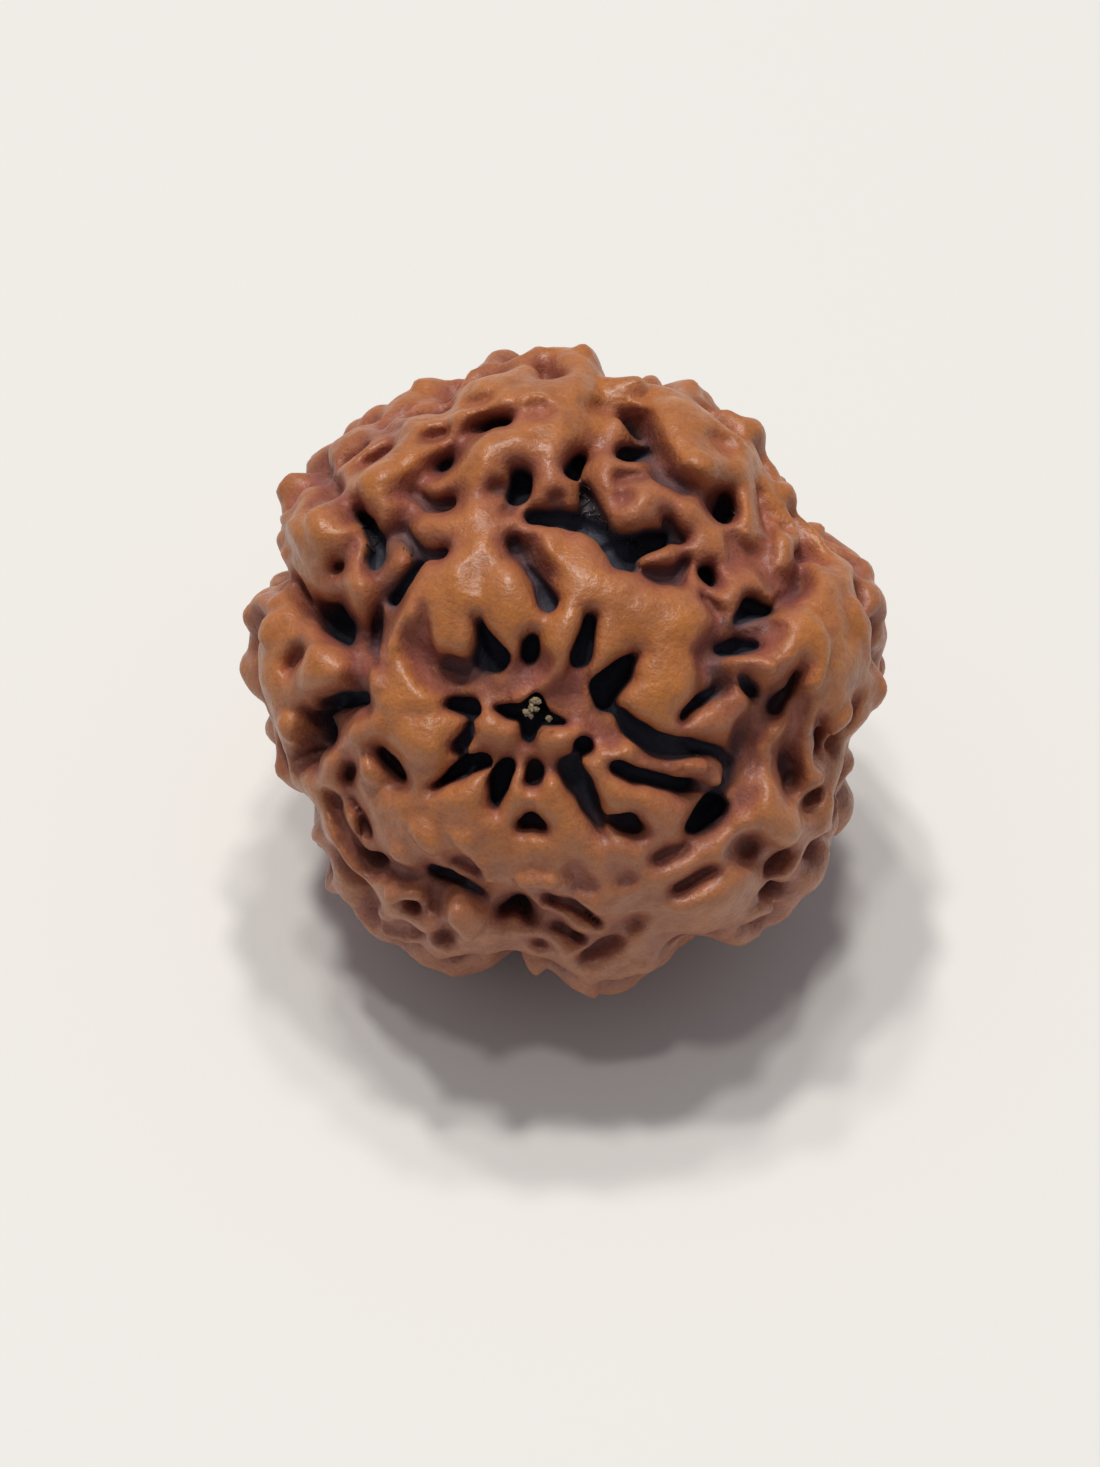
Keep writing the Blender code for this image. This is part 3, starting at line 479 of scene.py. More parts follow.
def on_ball(across, up):
    """The point of the ball that shows at this place of the face."""
    eye = TOWARDS * READ_FROM
    ray = unit(ACROSS_FACE * across + UP_FACE * up - eye)
    nearest = -(eye @ ray)
    inside = nearest * nearest - (eye @ eye - BALL * BALL)
    point = eye + ray * (nearest - math.sqrt(max(inside, 0.0)))
    return unit(point) * BALL


STALK = unit(on_ball(*STAR_MIDDLE))


def ease(values):
    """A smooth step from 0 to 1."""
    kept = np.clip(values, 0.0, 1.0)
    return kept * kept * (3.0 - 2.0 * kept)


def outline_radius(angles):
    """The outline's radius at angles in radians, eased from one read point to the next."""
    degrees = np.degrees(angles) % 360.0
    stops = np.array(OUTLINE + ((360.0, OUTLINE[0][1]),))
    spot = np.clip(np.searchsorted(stops[:, 0], degrees, side="right") - 1, 0, len(stops) - 2)
    share = ease((degrees - stops[spot, 0]) / (stops[spot + 1, 0] - stops[spot, 0]))
    return stops[spot, 1] + share * (stops[spot + 1, 1] - stops[spot, 1])


def envelope(directions):
    """The lobed ball without knobs and pits: the outline at the girth, round at both poles."""
    forward = directions @ TOWARDS / (STALK @ TOWARDS)
    across = directions @ ACROSS_FACE - (STALK @ ACROSS_FACE) * forward
    up = directions @ UP_FACE - (STALK @ UP_FACE) * forward
    girth = np.clip(across * across + up * up, 0.0, 1.0)
    rim = outline_radius(np.arctan2(up, across)) - KNOBS_IN_OUTLINE
    return POLE_RADIUS + (rim - POLE_RADIUS) * girth


def lattice_value(cells):
    """A repeatable value from -1 to 1 for each whole-numbered place."""
    one, two, three = LATTICE_TURNS
    turns = cells[..., 0] * one + cells[..., 1] * two + cells[..., 2] * three + SEED
    return 2.0 * np.modf(np.abs(np.sin(turns) * LATTICE_SPREAD))[0] - 1.0


def blended(base, share, value_at):
    """Values read at the eight whole-numbered places round each place, each by its nearness."""
    total = np.zeros(len(share))
    for corner in range(8):
        offset = np.array((corner & 1, corner >> 1 & 1, corner >> 2 & 1))
        weight = np.prod(np.where(offset == 1, share, 1.0 - share), axis=1)
        total += weight * value_at(base + offset)
    return total


def undulation(points, size):
    """Smooth seeded swellings of about this size, from -1 to 1."""
    scaled = points / size
    base = np.floor(scaled)
    return blended(base, ease(scaled - base), lattice_value)


def chain_distance(points, stops):
    """Distance from a chain of stops in two measures: shares of its half width, and from its edge."""
    shares = np.full(len(points), np.inf)
    gaps = np.full(len(points), np.inf)
    for first, second in zip(stops, stops[1:] or stops):
        start, run = first[0], second[0] - first[0]
        along = np.clip((points - start) @ run / max(run @ run, 1e-9), 0.0, 1.0)
        away = np.linalg.norm(points - start - along[:, None] * run, axis=1)
        half = first[1] + along * (second[1] - first[1])
        shares = np.minimum(shares, away / half)
        gaps = np.minimum(gaps, away - half)
    return shares, gaps


def placed(rows):
    """Rows of (chain, value), each chain as places on the ball with their half widths."""
    return [([(on_ball(across, up), half) for across, up, half in chain], value) for chain, value in rows]


def slot_between(direction, heading, length, half):
    """A short slot of the ball: two stops on either side of a direction, along a heading."""
    sideways = unit(heading - direction * (heading @ direction))
    ends = [unit(direction + sideways * length * side / BALL) * BALL for side in (-0.5, 0.5)]
    return [(ends[0], half * SLOT_TAPER), (ends[1], half)]


def allowed(direction):
    """True on the hidden side, clear of the rest spot."""
    hidden = direction @ TOWARDS < math.cos(HIDDEN_FROM)
    resting = np.linalg.norm(direction * BALL - np.array((0.0, 0.0, -BALL))) < REST_CLEAR
    return bool(hidden and not resting)


def free_direction(draw, taken, gap):
    """A seeded direction on the hidden side that keeps a gap to the places taken, or None."""
    for _ in range(TRIES):
        direction = unit(draw.normal(size=3))
        if allowed(direction) and np.linalg.norm(direction * BALL - np.array(taken), axis=1).min() > gap:
            return direction
    return None


def cleft_pits(draw):
    """Seeded slots in chains along the clefts of the hidden side: [(stops, depth)]."""
    pits = []
    for cleft in CLEFTS:
        turn = math.radians(cleft)
        rim = ACROSS_FACE * math.cos(turn) + UP_FACE * math.sin(turn)
        angle = math.radians(draw.uniform(*CLEFT_STARTS))
        while angle < CLEFT_END:
            direction = unit(rim * math.sin(angle) + STALK * math.cos(angle))
            heading = rim * math.cos(angle) - STALK * math.sin(angle)
            slot = slot_between(direction, heading, draw.uniform(*CLEFT_LENGTHS), draw.uniform(*CLEFT_HALVES))
            depth = draw.uniform(*CLEFT_DEPTHS)
            if allowed(direction):
                pits.append((slot, depth))
            angle += CLEFT_STEP * draw.uniform(*CLEFT_STEP_SHARES)
    return pits


def hidden_pits():
    """Seeded pits for the side that the face doesn't show: [(stops, depth)]."""
    draw = np.random.default_rng(SEED)
    pits = cleft_pits(draw)
    taken = [place for stops, _ in pits for place, _ in stops]
    for _ in range(HIDDEN_PITS):
        direction = free_direction(draw, taken, HIDDEN_GAP)
        slot_shape = draw.normal(size=3), draw.uniform(*HIDDEN_LENGTHS), draw.uniform(*HIDDEN_HALVES)
        depth = draw.uniform(*HIDDEN_DEPTHS)
        if direction is not None:
            slot = slot_between(direction, *slot_shape)
            pits.append((slot, depth))
            taken += [place for place, _ in slot]
    return pits


def hidden_knobs():
    """Seeded knobs for the same side: [(stops, height)]."""
    draw = np.random.default_rng(SEED + 1)
    knobs = []
    taken = [np.zeros(3)]
    for _ in range(HIDDEN_KNOBS):
        direction = free_direction(draw, taken, KNOB_GAP)
        radius, height = draw.uniform(*KNOB_RADII), draw.uniform(*KNOB_HEIGHTS)
        if direction is not None:
            knobs.append(([(direction * BALL, radius)], height))
            taken.append(direction * BALL)
    return knobs


def soft_max(first, second, width):
    """The greater of two fields, rounded where they meet."""
    overlap = np.clip(width - np.abs(first - second), 0.0, None) / width
    return np.maximum(first, second) + overlap * overlap * width * 0.25


def soft_min(first, second, width):
    """The lesser of two fields, rounded where they meet."""
    return -soft_max(-first, -second, width)


def leaning(directions):
    """How far sideways a pit runs for each millimetre that it sinks: it leans to the line of sight."""
    facing = directions @ TOWARDS
    sideways = TOWARDS - facing[..., None] * directions
    share = PIT_LEAN * ease((facing - LEAN_FADE[0]) / (LEAN_FADE[1] - LEAN_FADE[0]))
    share /= np.maximum(facing, LEAN_LEAST_FACING)
    return sideways * share[..., None]


class Field:
    """Values at evenly spaced places round the bead's middle."""

    def __init__(self):
        count = int(round(2.0 * FIELD_EDGE / FIELD_STEP))
        self.axis = (np.arange(count + 1) - count / 2.0) * FIELD_STEP
        self.shape = (count + 1,) * 3

    def block(self, stops, reach):
        """The slices of the field that a chain of stops can touch, from the core outwards."""
        corners = [place / BALL * radius - leaning(place / BALL) * (BALL - radius) + side * (half + reach)
                   for place, half in stops
                   for radius in (CORE_RADIUS, FIELD_EDGE)
                   for side in (-1.0, 1.0)]
        low, high = np.min(corners, axis=0), np.max(corners, axis=0)
        starts = np.searchsorted(self.axis, low)
        ends = np.searchsorted(self.axis, high)
        return tuple(slice(start, end) for start, end in zip(starts, ends))

    def points(self, slices):
        """The places of a block, one row each."""
        grids = np.meshgrid(*(self.axis[part] for part in slices), indexing="ij")
        return np.stack([grid.ravel() for grid in grids], axis=1)


def wobbled(directions):
    """Places on the ball, shifted a little so that no edge runs quite straight."""
    places = directions * BALL
    rolled = places[:, (1, 2, 0)]
    slow = np.sin(rolled * WOBBLE_TURNS[0] + WOBBLE_STARTS[0])
    quick = np.sin(rolled[:, (1, 2, 0)] * WOBBLE_TURNS[1] + WOBBLE_STARTS[1])
    return places + WOBBLE * (slow + QUICK_WOBBLE_SHARE * quick)


def touched_places(field, stops, reach, leans=True):
    """The block round a chain, and where on the ball its places are sunk from, with their radius."""
    slices = field.block(stops, reach)
    points = field.points(slices)
    radius = np.maximum(np.linalg.norm(points, axis=1), 1e-6)
    directions = points / radius[:, None]
    if leans:
        directions = unit(directions * BALL + leaning(directions) * (BALL - radius)[:, None])
    return slices, radius, directions


def bowl_strength(places):
    """How wide-mouthed the pits are: plain slots round the star, bowls further out."""
    away = np.linalg.norm(places - STALK * BALL, axis=1)
    return ease((away - BOWLS_FROM_STAR[0]) / (BOWLS_FROM_STAR[1] - BOWLS_FROM_STAR[0]))


def away_from_rest(places):
    """0 round the rest spot, where the bead is a plain ball, and 1 everywhere else."""
    away = np.linalg.norm(places + (0.0, 0.0, BALL), axis=1)
    return ease((away - REST_FADE[0]) / (REST_FADE[1] - REST_FADE[0]))


def raised_relief(field):
    """How far the knobs stand up, at every place of the field."""
    powers = np.zeros(field.shape, dtype=np.float32)
    for stops, height in placed(KNOBS) + hidden_knobs():
        slices, _, directions = touched_places(field, stops, KNOB_REACH, leans=False)
        shares, _ = chain_distance(directions * BALL, stops)
        rise = height * np.sqrt(np.clip(1.0 - shares * shares, 0.0, 1.0))
        powers[slices] += (rise ** SHARPNESS).reshape(powers[slices].shape)
    return powers ** (1.0 / SHARPNESS)


def lowered_relief(field, pits):
    """How far saddles, and bowls round the pits, sink the crown, at every place of the field."""
    saddled = np.zeros(field.shape, dtype=np.float32)
    for stops, depth in placed(SADDLES):
        slices, _, directions = touched_places(field, stops, SADDLE_REACH)
        _, gaps = chain_distance(wobbled(directions), stops)
        sink = depth * ease((SADDLE_EDGE - gaps) / SADDLE_FALL)
        saddled[slices] += (sink ** SHARPNESS).reshape(saddled[slices].shape)
    nearness = np.zeros(field.shape, dtype=np.float32)
    for stops, depth in pits:
        slices, _, directions = touched_places(field, stops, BOWL_REACH)
        _, gaps = chain_distance(wobbled(directions), stops)
        share = np.exp(-np.maximum(gaps, 0.0) / BOWL_FALL) * min(1.0, depth / BOWL_FULL_FROM)
        share *= BOWL_BY_STAR + (1.0 - BOWL_BY_STAR) * bowl_strength(directions * BALL)
        nearness[slices] += share.reshape(nearness[slices].shape)
    return saddled ** (1.0 / SHARPNESS) + BOWL_DEPTH * (1.0 - np.exp(-nearness))


def rounded(values):
    """The field with its sharp crests softened."""
    values = np.clip(values, -FIELD_CLIP, FIELD_CLIP)
    reach = len(ROUNDING) // 2
    for axis in range(3):
        total = np.zeros_like(values)
        for shift, weight in enumerate(ROUNDING, -reach):
            total += np.float32(weight) * np.roll(values, shift, axis)
        values = total
    return values


def all_pits():
    """Every pit of the bead: those read on the face, the seeded ones and the star mouth's arms."""
    return placed(PITS) + hidden_pits() + placed((arm, MOUTH_SINK) for arm in STAR_ARMS)


def crown_field(field, lowered):
    """How far each place lies above the crown; the lowered relief is faded out round the rest spot."""
    raised = raised_relief(field)
    crown = np.empty(field.shape, dtype=np.float32)
    up, out = np.meshgrid(field.axis, field.axis, indexing="ij")
    for index, across in enumerate(field.axis):
        points = np.stack([np.full(up.size, across), up.ravel(), out.ravel()], axis=1)
        radius = np.linalg.norm(points, axis=1)
        layer = np.where(radius <= CORE_RADIUS, -OUTSIDE, OUTSIDE)
        shell = np.flatnonzero((radius > CORE_RADIUS) & (radius < FIELD_EDGE))
        directions = points[shell] / radius[shell, None]
        places = directions * BALL
        relief = envelope(directions) + raised[index].ravel()[shell]
        relief += sum(height * undulation(places, size) for size, height in UNDULATIONS)
        relief += CROWN_LIFT * bowl_strength(places)
        share = away_from_rest(places)
        layer[shell] = radius[shell] - (REST_BALL + (relief - REST_BALL) * share)
        lowered[index].ravel()[shell] *= share
        crown[index] = layer.reshape(up.shape)
    return crown


def hollow_field(field, pits, crown):
    """Below nought in the pits and the star mouth, and above it elsewhere."""
    hollow = np.full(field.shape, OUTSIDE, dtype=np.float32)
    for stops, depth in pits:
        slices, radius, directions = touched_places(field, stops, PIT_REACH)
        below = -crown[slices].ravel()
        _, gaps = chain_distance(wobbled(directions), stops)
        outer = bowl_strength(directions * BALL)
        funnel = FUNNEL_BY_STAR + (FUNNEL - FUNNEL_BY_STAR) * outer
        gaps -= funnel * np.exp(-np.maximum(below, 0.0) / FUNNEL_DEPTH)
        gaps += PIT_NARROWING - WIDER_BY_STAR * (1.0 - outer)
        side = gaps * radius / BALL
        pit = soft_max(side, below - depth, FLOOR_ROUND).reshape(hollow[slices].shape)
        hollow[slices] = soft_min(hollow[slices], pit, PIT_BLEND)
    return hollow


def bead_field(field):
    """Below nought in the bead and above it outside; and how far each place lies under the crown."""
    pits = all_pits()
    lowered = lowered_relief(field, pits)
    crown = crown_field(field, lowered)
    pitted = soft_max(crown + lowered, -hollow_field(field, pits, crown), LIP_ROUND)
    return cut_channel(field, rounded(pitted)), -crown


def cut_channel(field, values):
    """The field with the natural channel taken out along the stalk axis and the rest spot cut level."""
    grids = np.meshgrid(field.axis, field.axis, field.axis, indexing="ij", sparse=True)
    along = sum(grid * part for grid, part in zip(grids, STALK))
    square = sum(grid * grid for grid in grids)
    away = np.sqrt(np.maximum(square - along * along, 0.0)) - CORE_HALF
    values = soft_max(values, -away.astype(np.float32), CHANNEL_ROUND)
    return np.maximum(values, (-MIDDLE_HEIGHT - grids[2]).astype(np.float32))


def other_axes(axis):
    """The two axes beside this one."""
    return [other for other in range(3) if other != axis]


def edge_cells(index, axis):
    """The four cells round each grid edge that runs along this axis, in turning order."""
    first, second = other_axes(axis)
    back = np.zeros((4, 3), dtype=int)
    back[1, first] = back[2, first] = 1
    back[2, second] = back[3, second] = 1
    order = index[:, None, :] - back[None]
    return order if axis != 1 else order[:, ::-1]


def skin_corners(values, field, cells):
    """A corner in each cell, in the middle of the places where the skin cuts the cell's edges."""
    total = np.zeros((len(cells), 3))
    hits = np.zeros(len(cells))
    for axis in range(3):
        step = np.eye(3, dtype=int)[axis]
        for one, two in ((0, 0), (0, 1), (1, 0), (1, 1)):
            start = np.zeros(3, dtype=int)
            start[other_axes(axis)] = one, two
            low = values[tuple((cells + start).T)].astype(float)
            high = values[tuple((cells + start + step).T)].astype(float)
            cross = (low < 0.0) != (high < 0.0)
            share = np.where(cross, low / np.where(cross, low - high, 1.0), 0.0)
            total[cross] += (start + share[:, None] * step)[cross]
            hits += cross
    return (cells + total / hits[:, None]) * FIELD_STEP + field.axis[0]


def skin_faces(inside, number):
    """A four-cornered face across each grid edge that the skin cuts, turned outwards."""
    faces = []
    for axis in range(3):
        further = [slice(1, -1)] * 3
        further[axis] = slice(2, None)
        nodes = np.argwhere(inside[1:-1, 1:-1, 1:-1] != inside[tuple(further)]) + 1
        quads = number[tuple(np.moveaxis(edge_cells(nodes, axis), -1, 0))]
        outward = inside[tuple(nodes.T)]
        faces.append(np.where(outward[:, None], quads, quads[:, ::-1]))
    return np.concatenate(faces)


def skin_of(values, field):
    """The field's skin: one corner in each cell that it runs through, and four-cornered faces."""
    inside = values < 0.0
    count = sum(inside[i:len(inside) - 1 + i, j:len(inside) - 1 + j, k:len(inside) - 1 + k].astype(np.int8)
                for i in (0, 1) for j in (0, 1) for k in (0, 1))
    crossed = (count > 0) & (count < 8)
    number = np.full(crossed.shape, -1, dtype=np.int64)
    number[crossed] = np.arange(int(crossed.sum()))
    return skin_corners(values, field, np.argwhere(crossed)), skin_faces(inside, number)


def sampled(values, field, points):
    """The field's value at any places."""
    scaled = (points - field.axis[0]) / FIELD_STEP
    base = np.clip(np.floor(scaled).astype(int), 0, len(field.axis) - 2)
    return blended(base, scaled - base, lambda cells: values[tuple(cells.T)])


def mesh_object(name, places, faces, material):
    """A new object from places and faces."""
    mesh = bpy.data.meshes.new(name)
    mesh.vertices.add(len(places))
    mesh.vertices.foreach_set("co", np.asarray(places, dtype=np.float32).ravel())
    mesh.loops.add(faces.size)
    mesh.loops.foreach_set("vertex_index", faces.ravel().astype(np.int32))
    mesh.polygons.add(len(faces))
    mesh.polygons.foreach_set("loop_start", np.arange(0, faces.size, faces.shape[1], dtype=np.int32))
    mesh.update(calc_edges=True)
    mesh.validate()
    mesh.materials.append(material)
    made = bpy.data.objects.new(name, mesh)
    bpy.context.collection.objects.link(made)
    return made


def write_attribute(mesh, name, values):
    """A value for each corner of the mesh, for the material to read."""
    layer = mesh.attributes.new(name, "FLOAT", "POINT")
    layer.data.foreach_set("value", np.asarray(values, dtype=np.float32).ravel())


def read_out(items, name, width, kind=np.float32):
    """What each corner or edge of a mesh keeps under this name, one row each."""
    values = np.empty(len(items) * width, dtype=kind)
    items.foreach_get(name, values)
    return values.reshape(-1, width)


def averaged(values, ends, rounds):
    """Rows of corner values smoothed along the edges."""
    number = 1.0 + np.bincount(ends.ravel(), minlength=len(values))
    for _ in range(rounds):
        total = values.copy()
        for one, other in ((0, 1), (1, 0)):
            for part in range(values.shape[1]):
                total[:, part] += np.bincount(ends[:, one], values[ends[:, other], part], len(values))
        values = total / number[:, None]
    return values


def thinned(made, triangles):
    """The object with fewer triangles, kept where its skin bends most."""
    thin = made.modifiers.new("thin", "DECIMATE")
    thin.ratio = min(1.0, triangles / (2.0 * len(made.data.polygons)))
    graph = bpy.context.evaluated_depsgraph_get()
    mesh = bpy.data.meshes.new_from_object(made.evaluated_get(graph))
    made.modifiers.clear()
    made.data = mesh


def largest_body(places, faces):
    """The skin without any speck that hangs loose from it."""
    label = np.arange(len(places))
    while True:
        low = label[faces].min(axis=1)
        before = label.copy()
        for corner in range(faces.shape[1]):
            np.minimum.at(label, faces[:, corner], low)
        label = label[label]
        if np.array_equal(before, label):
            break
    main = np.bincount(label).argmax()
    kept = label == main
    number = np.cumsum(kept) - 1
    return places[kept], number[faces[kept[faces[:, 0]]]]


def make_bead(material):
    """The bead's fine skin, with what the finish needs to know about each corner."""
    field = Field()
    values, sink = bead_field(field)
    places, faces = skin_of(values, field)
    places, faces = largest_body(places, faces)
    bead = mesh_object("bead_skin", places, faces, material)
    thinned(bead, SKIN_TRIANGLES)
    mesh = bead.data
    places = read_out(mesh.vertices, "co", 3).astype(float)
    normals = read_out(mesh.vertex_normals, "vector", 3).astype(float)
    ends = read_out(mesh.edges, "vertices", 2, np.int32)
    write_attribute(mesh, "sink", sampled(sink, field, places))
    broad = averaged(places, ends, BROAD_ROUNDS)
    bend = np.einsum("ij,ij->i", places - broad, normals)
    write_attribute(mesh, "bend", averaged(bend[:, None], ends, BEND_ROUNDS))
    mesh.vertices.foreach_set("co", ((places + MIDDLE) * MM).astype(np.float32).ravel())
    mesh.shade_smooth()
    mesh.update()
    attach(bead, "root")
    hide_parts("bead")
    return bead


def fed(tree, node, inputs):
    """The node with its inputs linked to sockets, or set to plain values or colours."""
    for name, value in inputs.items():
        if isinstance(value, bpy.types.NodeSocket):
            tree.links.new(value, node.inputs[name])
        elif isinstance(value, tuple):
            node.inputs[name].default_value = (*value, 1.0)
        else:
            node.inputs[name].default_value = value
    return node


def ramp(tree, factor, stops):
    """A colour ramp through these stops: (place, colour)."""
    node = fed(tree, tree.nodes.new("ShaderNodeValToRGB"), {"Fac": factor})
    elements = node.color_ramp.elements
    while len(elements) < len(stops):
        elements.new(1.0)
    for element, (place, colour) in zip(elements, stops):
        element.position = place
        element.color = (*colour, 1.0)
    return node.outputs["Color"]


def remapped(tree, value, low, high, to_low=0.0, to_high=1.0):
    """A value moved from one range to another, and kept in it."""
    inputs = {"Value": value, "From Min": low, "From Max": high, "To Min": to_low, "To Max": to_high}
    return fed(tree, tree.nodes.new("ShaderNodeMapRange"), inputs).outputs["Result"]


def mixed(tree, factor, first, second):
    """Two colours mixed; either may be a socket or a plain colour."""
    node = tree.nodes.new("ShaderNodeMix")
    node.data_type = "RGBA"
    return fed(tree, node, {0: factor, 6: first, 7: second}).outputs[2]


def computed(tree, operation, *values):
    """One step of arithmetic on sockets or plain values."""
    node = tree.nodes.new("ShaderNodeMath")
    node.operation = operation
    return fed(tree, node, dict(enumerate(values))).outputs[0]


def noise(tree, places, size, detail, rough):
    """Cloudy noise of about this size in millimetres."""
    inputs = {"Vector": places, "Scale": 1.0 / size, "Detail": detail, "Roughness": rough}
    return fed(tree, tree.nodes.new("ShaderNodeTexNoise"), inputs).outputs["Fac"]


def bumped(tree, inputs):
    """The surface's direction with a low relief added."""
    return fed(tree, tree.nodes.new("ShaderNodeBump"), inputs).outputs["Normal"]


def millimetre_places(tree):
    """Places on the piece in millimetres."""
    source = tree.nodes.new("ShaderNodeTexCoord")
    scale = tree.nodes.new("ShaderNodeVectorMath")
    scale.operation = "SCALE"
    return fed(tree, scale, {0: source.outputs["Object"], "Scale": 1.0 / MM}).outputs["Vector"]


def attribute(tree, name):
    """A corner value of the mesh."""
    node = tree.nodes.new("ShaderNodeAttribute")
    node.attribute_type = "GEOMETRY"
    node.attribute_name = name
    return node.outputs["Fac"]


def new_material(name):
    """A material with its shader and its node tree."""
    material = bpy.data.materials.new(name)
    material.use_nodes = True
    tree = material.node_tree
    return material, tree, tree.nodes["Principled BSDF"]


def grain_group():
    """The grain of the bead and its remains: a mask, and a surface direction with its low relief."""
    group = bpy.data.node_groups.new("dry_grain", "ShaderNodeTree")
    for name in ("Size", "Strength", "Relief"):
        group.interface.new_socket(name, in_out="INPUT", socket_type="NodeSocketFloat")
    group.interface.new_socket("Mask", in_out="OUTPUT", socket_type="NodeSocketFloat")
    group.interface.new_socket("Normal", in_out="OUTPUT", socket_type="NodeSocketVector")
    given = group.nodes.new("NodeGroupInput").outputs
    scale = computed(group, "DIVIDE", 1.0, given["Size"])
    metres = computed(group, "MULTIPLY", MM, given["Relief"])
    inputs = {"Vector": millimetre_places(group), "Scale": scale, "Detail": 3.0, "Roughness": 0.6}
    cloud = fed(group, group.nodes.new("ShaderNodeTexNoise"), inputs).outputs["Fac"]
    lifted = bumped(group, {"Height": cloud, "Strength": given["Strength"], "Distance": metres})
    fed(group, group.nodes.new("NodeGroupOutput"), {"Mask": cloud, "Normal": lifted})
    return group


def grained(tree, size, strength, relief):
    """The shared grain with a material's own size, strength and relief in millimetres."""
    node = tree.nodes.new("ShaderNodeGroup")
    node.node_tree = bpy.data.node_groups.get("dry_grain") or grain_group()
    fed(tree, node, {"Size": size, "Strength": strength, "Relief": relief})
    return node.outputs["Mask"], node.outputs["Normal"]


def stone_colour(tree, places, sink, mottle, grain):
    """The stone's tone at its depth, darker deeper partly as painted shade, then clouds, blush, a painted
    reflection of the pale table low on the bead, mottle, crests and grain, then pits darkened partly by oil
    stain and partly by painted shade.
    """
    cloud = noise(tree, places, *CLOUD)
    depth = computed(tree, "MULTIPLY_ADD", cloud, CLOUD_IN_DEPTH, sink)
    height = fed(tree, tree.nodes.new("ShaderNodeSeparateXYZ"), {0: places}).outputs["Z"]
    # Darker with depth: partly the stone's own darker hollows, partly painted shade in the recesses
    tone = ramp(tree, remapped(tree, depth, *STONE_DEPTHS), STONE_TONES)
    for value, share, colour in (
        (cloud, CLOUD_SHARE, CLOUD_BROWN),
        (noise(tree, places, *BLUSH), BLUSH_SHARE, BLUSH_PINK),
        # Painted reflection of the pale table, paler and bluer towards the bottom
        (height, TABLE_REFLECTION_SHARE, TABLE_REFLECTION_PINK),
        (mottle, MOTTLE_SHARE, MOTTLE_BROWN),
        (attribute(tree, "bend"), CREST_SHARE, CREST_ORANGE),
    ):
        tone = mixed(tree, remapped(tree, value, *share), tone, colour)
    tone = mixed(tree, remapped(tree, grain, *GRAIN_SHADE), (0.0, 0.0, 0.0), tone)
    # Blue-black in the deepest pits: partly oil stain, partly painted shade
    return mixed(tree, remapped(tree, depth, *PIT_STAIN_AND_SHADE_SHARE), tone, PIT_STAIN_AND_SHADE)


def stone_material():
    """The bead's woody stone: orange-brown and waxy on the crown, pink-brown lower, dark in the pits partly
    from oil stain and partly as painted shade.
    """
    material, tree, shader = new_material("bead_stone")
    places = millimetre_places(tree)
    sink = attribute(tree, "sink")
    mottle = noise(tree, places, *MOTTLE)
    grain, grained_surface = grained(tree, *STONE_GRAIN)
    wrinkles = {
        "Height": noise(tree, places, *WRINKLE),
        "Strength": WRINKLE_STRENGTH,
        "Distance": WRINKLE_HEIGHT * MM,
        "Normal": grained_surface,
    }
    fed(tree, shader, {
        "Base Color": stone_colour(tree, places, sink, mottle, grain),
        "Roughness": remapped(tree, mottle, *STONE_ROUGHNESS),
        "Specular IOR Level": remapped(tree, sink, *STONE_SHINE),
        "Coat Weight": remapped(tree, sink, *STONE_COAT),
        "Coat Roughness": COAT_ROUGHNESS,
        "Normal": bumped(tree, wrinkles),
    })
    return material


def remains_material(name, grain_kind, tones, roughness):
    """Dry remains of the fruit: grained, and toned by their grain."""
    material, tree, shader = new_material(name)
    grain, surface = grained(tree, *grain_kind)
    fed(tree, shader, {"Base Color": ramp(tree, grain, tones), "Normal": surface, "Roughness": roughness})
    return material


def pith_material():
    """Dry tan pith, matt and crumbly."""
    return remains_material("pith_tan", PITH_GRAIN, PITH_TONES, PITH_ROUGHNESS)


def pulp_material():
    """Dried pulp: near black, shrivelled and a little glossy."""
    return remains_material("pulp_dark", PULP_GRAIN, PULP_TONES, PULP_ROUGHNESS)


def table_material():
    """A smooth pale table."""
    material, tree, shader = new_material("table_pale")
    fed(tree, shader, {"Base Color": TABLE_COLOUR, "Roughness": TABLE_ROUGHNESS})
    return material


def looked_at(tree, across, up):
    """Where the line of sight at this place of the face meets the bead, in millimetres, and that line."""
    ray = unit(MIDDLE + ACROSS_FACE * across + UP_FACE * up - EYE)
    place, _, _, _ = tree.ray_cast(Vector(EYE * MM), Vector(ray))
    return np.array(place) / MM, ray


def make_crumbs(material):
    """Crumbs of pith that lie in the star mouth."""
    places, faces = [], []
    ball = bmesh.new()
    bmesh.ops.create_icosphere(ball, subdivisions=4, radius=1.0)
    round_places = np.array([corner.co for corner in ball.verts])
    round_faces = np.array([[corner.index for corner in face.verts] for face in ball.faces])
    ball.free()
    for number, (across, up, size) in enumerate(CRUMBS):
        spot = on_ball(across, up) * (1.0 - CRUMB_SINK / BALL) + MIDDLE
        lumps = np.ones(len(round_places))
        for width, height, shift in CRUMB_LUMPS:
            lumps += height * undulation(round_places + number * shift, width)
        stretch = np.roll(CRUMB_SHAPE, number) * size * 0.5
        faces.append(round_faces + len(round_places) * number)
        places.append(spot + round_places * lumps[:, None] * stretch)
    crumbs = mesh_object("pith_crumbs", np.concatenate(places) * MM, np.concatenate(faces), material)
    crumbs.data.shade_smooth()
    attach(crumbs, "root")


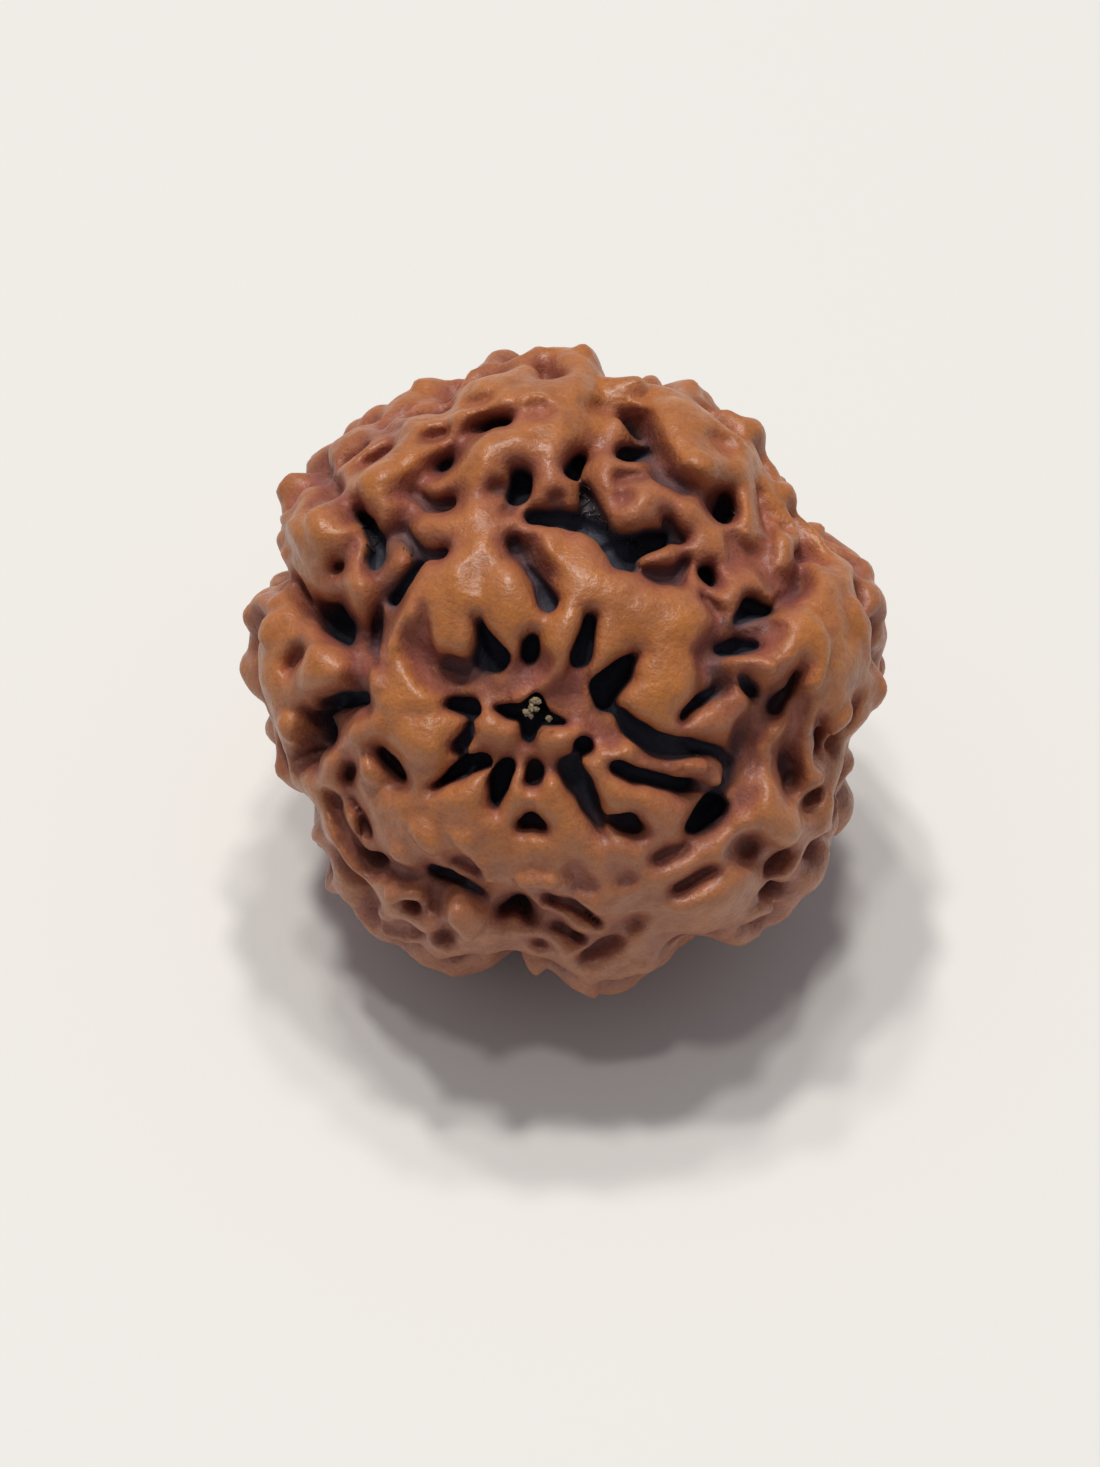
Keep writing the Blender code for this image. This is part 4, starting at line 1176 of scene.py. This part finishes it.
def shred_ring(tree, across, up, turn, half):
    """The corners round a shred at one place of the face, laid on what shows there."""
    spot, ray = looked_at(tree, across, up)
    side = unit(np.cross(ray, ACROSS_FACE * math.cos(turn) + UP_FACE * math.sin(turn)))
    lifted = spot - ray * SHRED_LIFT
    flat = ray * half * SHRED_FLATNESS
    return [lifted + side * half * math.cos(angle) - flat * math.sin(angle)
            for angle in np.linspace(0.0, 2.0 * math.pi, SHRED_SIDES, endpoint=False)]


def shred_faces(first):
    """The faces between the rings of the shred that starts with this corner."""
    faces = []
    for row in range(first, first + SHRED_SIDES * (SHRED_STEPS - 1), SHRED_SIDES):
        after = row + SHRED_SIDES
        for corner in range(SHRED_SIDES):
            following = (corner + 1) % SHRED_SIDES
            faces.append((row + corner, row + following, after + following, after + corner))
    return faces


def make_shreds(tree, material):
    """Curled shreds of dried pulp that stick to the floors of the deepest pits."""
    draw = np.random.default_rng(SEED + 2)
    places, faces = [], []
    for across, up, length, heading in SHREDS:
        turn = math.radians(heading)
        faces += shred_faces(SHRED_SIDES * len(places))
        for step in range(SHRED_STEPS):
            share = step / (SHRED_STEPS - 1.0)
            run = (share - 0.5) * length
            bend = SHRED_CURL * math.sin(share * SHRED_CURLS + turn)
            bend += draw.uniform(-SHRED_STRAY, SHRED_STRAY)
            x = across + run * math.cos(turn) - bend * math.sin(turn)
            y = up + run * math.sin(turn) + bend * math.cos(turn)
            fullness = SHRED_TIP + (1.0 - SHRED_TIP) * math.sin(math.pi * share)
            places.append(shred_ring(tree, x, y, turn, SHRED_WIDTH * fullness * 0.5))
    shreds = mesh_object("pulp_shreds", np.concatenate(places) * MM, np.array(faces), material)
    shreds.data.shade_smooth()
    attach(shreds, "root")


def make_table():
    """A plain table top under the bead."""
    corners = np.array(((-1.0, -1.0, 0.0), (1.0, -1.0, 0.0), (1.0, 1.0, 0.0), (-1.0, 1.0, 0.0)))
    table = mesh_object("table_top", corners * TABLE_HALF, np.array(((0, 1, 2, 3),)), table_material())
    table.location.z = -TABLE_DROP * MM


def aim(thing, target):
    """Turn a light or the camera to look at a place."""
    away = thing.location - Vector(target)
    thing.rotation_euler = away.to_track_quat("Z", "Y").to_euler()


def soft_light(name, across, back, share):
    """A small square light overhead that gives the table this share of its light."""
    direction = Vector((across, back, 1.0)).normalized()
    data = bpy.data.lights.new(name, "AREA")
    data.shape = "SQUARE"
    data.size = LIGHT_SIZE
    data.energy = share * (math.pi * LIGHT_DISTANCE) ** 2 / direction.z
    light = bpy.data.objects.new(name, data)
    light.location = direction * LIGHT_DISTANCE
    aim(light, (0.0, 0.0, 0.0))
    bpy.context.collection.objects.link(light)


def make_light():
    """Five small lights nearly overhead, and a pale room."""
    for number, (across, back, share) in enumerate(LIGHTS):
        soft_light(f"light_{number + 1}", across, back, share)
    world = bpy.data.worlds.new("room")
    world.use_nodes = True
    tree = world.node_tree
    fed(tree, tree.nodes["Background"], {"Color": ROOM_COLOUR, "Strength": AMBIENT})
    bpy.context.scene.world = world
    bpy.context.scene.view_settings.view_transform = "Standard"


def make_camera():
    """The camera at the photograph's angle, with the bead where the photograph has it."""
    data = bpy.data.cameras.new("camera")
    data.sensor_fit = "VERTICAL"
    data.sensor_height = SENSOR
    data.lens = PIXELS_PER_MM * READ_FROM * SENSOR / PHOTO_SIZE[1]
    data.clip_start, data.clip_end = CLIP
    camera = bpy.data.objects.new("camera", data)
    right = (BEAD_MIDDLE_PIXEL[0] - PHOTO_SIZE[0] / 2.0) / PIXELS_PER_MM
    above = (PHOTO_SIZE[1] / 2.0 - BEAD_MIDDLE_PIXEL[1]) / PIXELS_PER_MM
    target = MIDDLE - ACROSS_FACE * right - UP_FACE * above
    camera.location = EYE * MM
    aim(camera, target * MM)
    bpy.context.collection.objects.link(camera)
    bpy.context.scene.camera = camera


make_camera()
make_light()
make_table()
bead = make_bead(stone_material())
bead_tree = BVHTree.FromPolygons([corner.co[:] for corner in bead.data.vertices],
                                 [face.vertices[:] for face in bead.data.polygons])
make_crumbs(pith_material())
make_shreds(bead_tree, pulp_material())
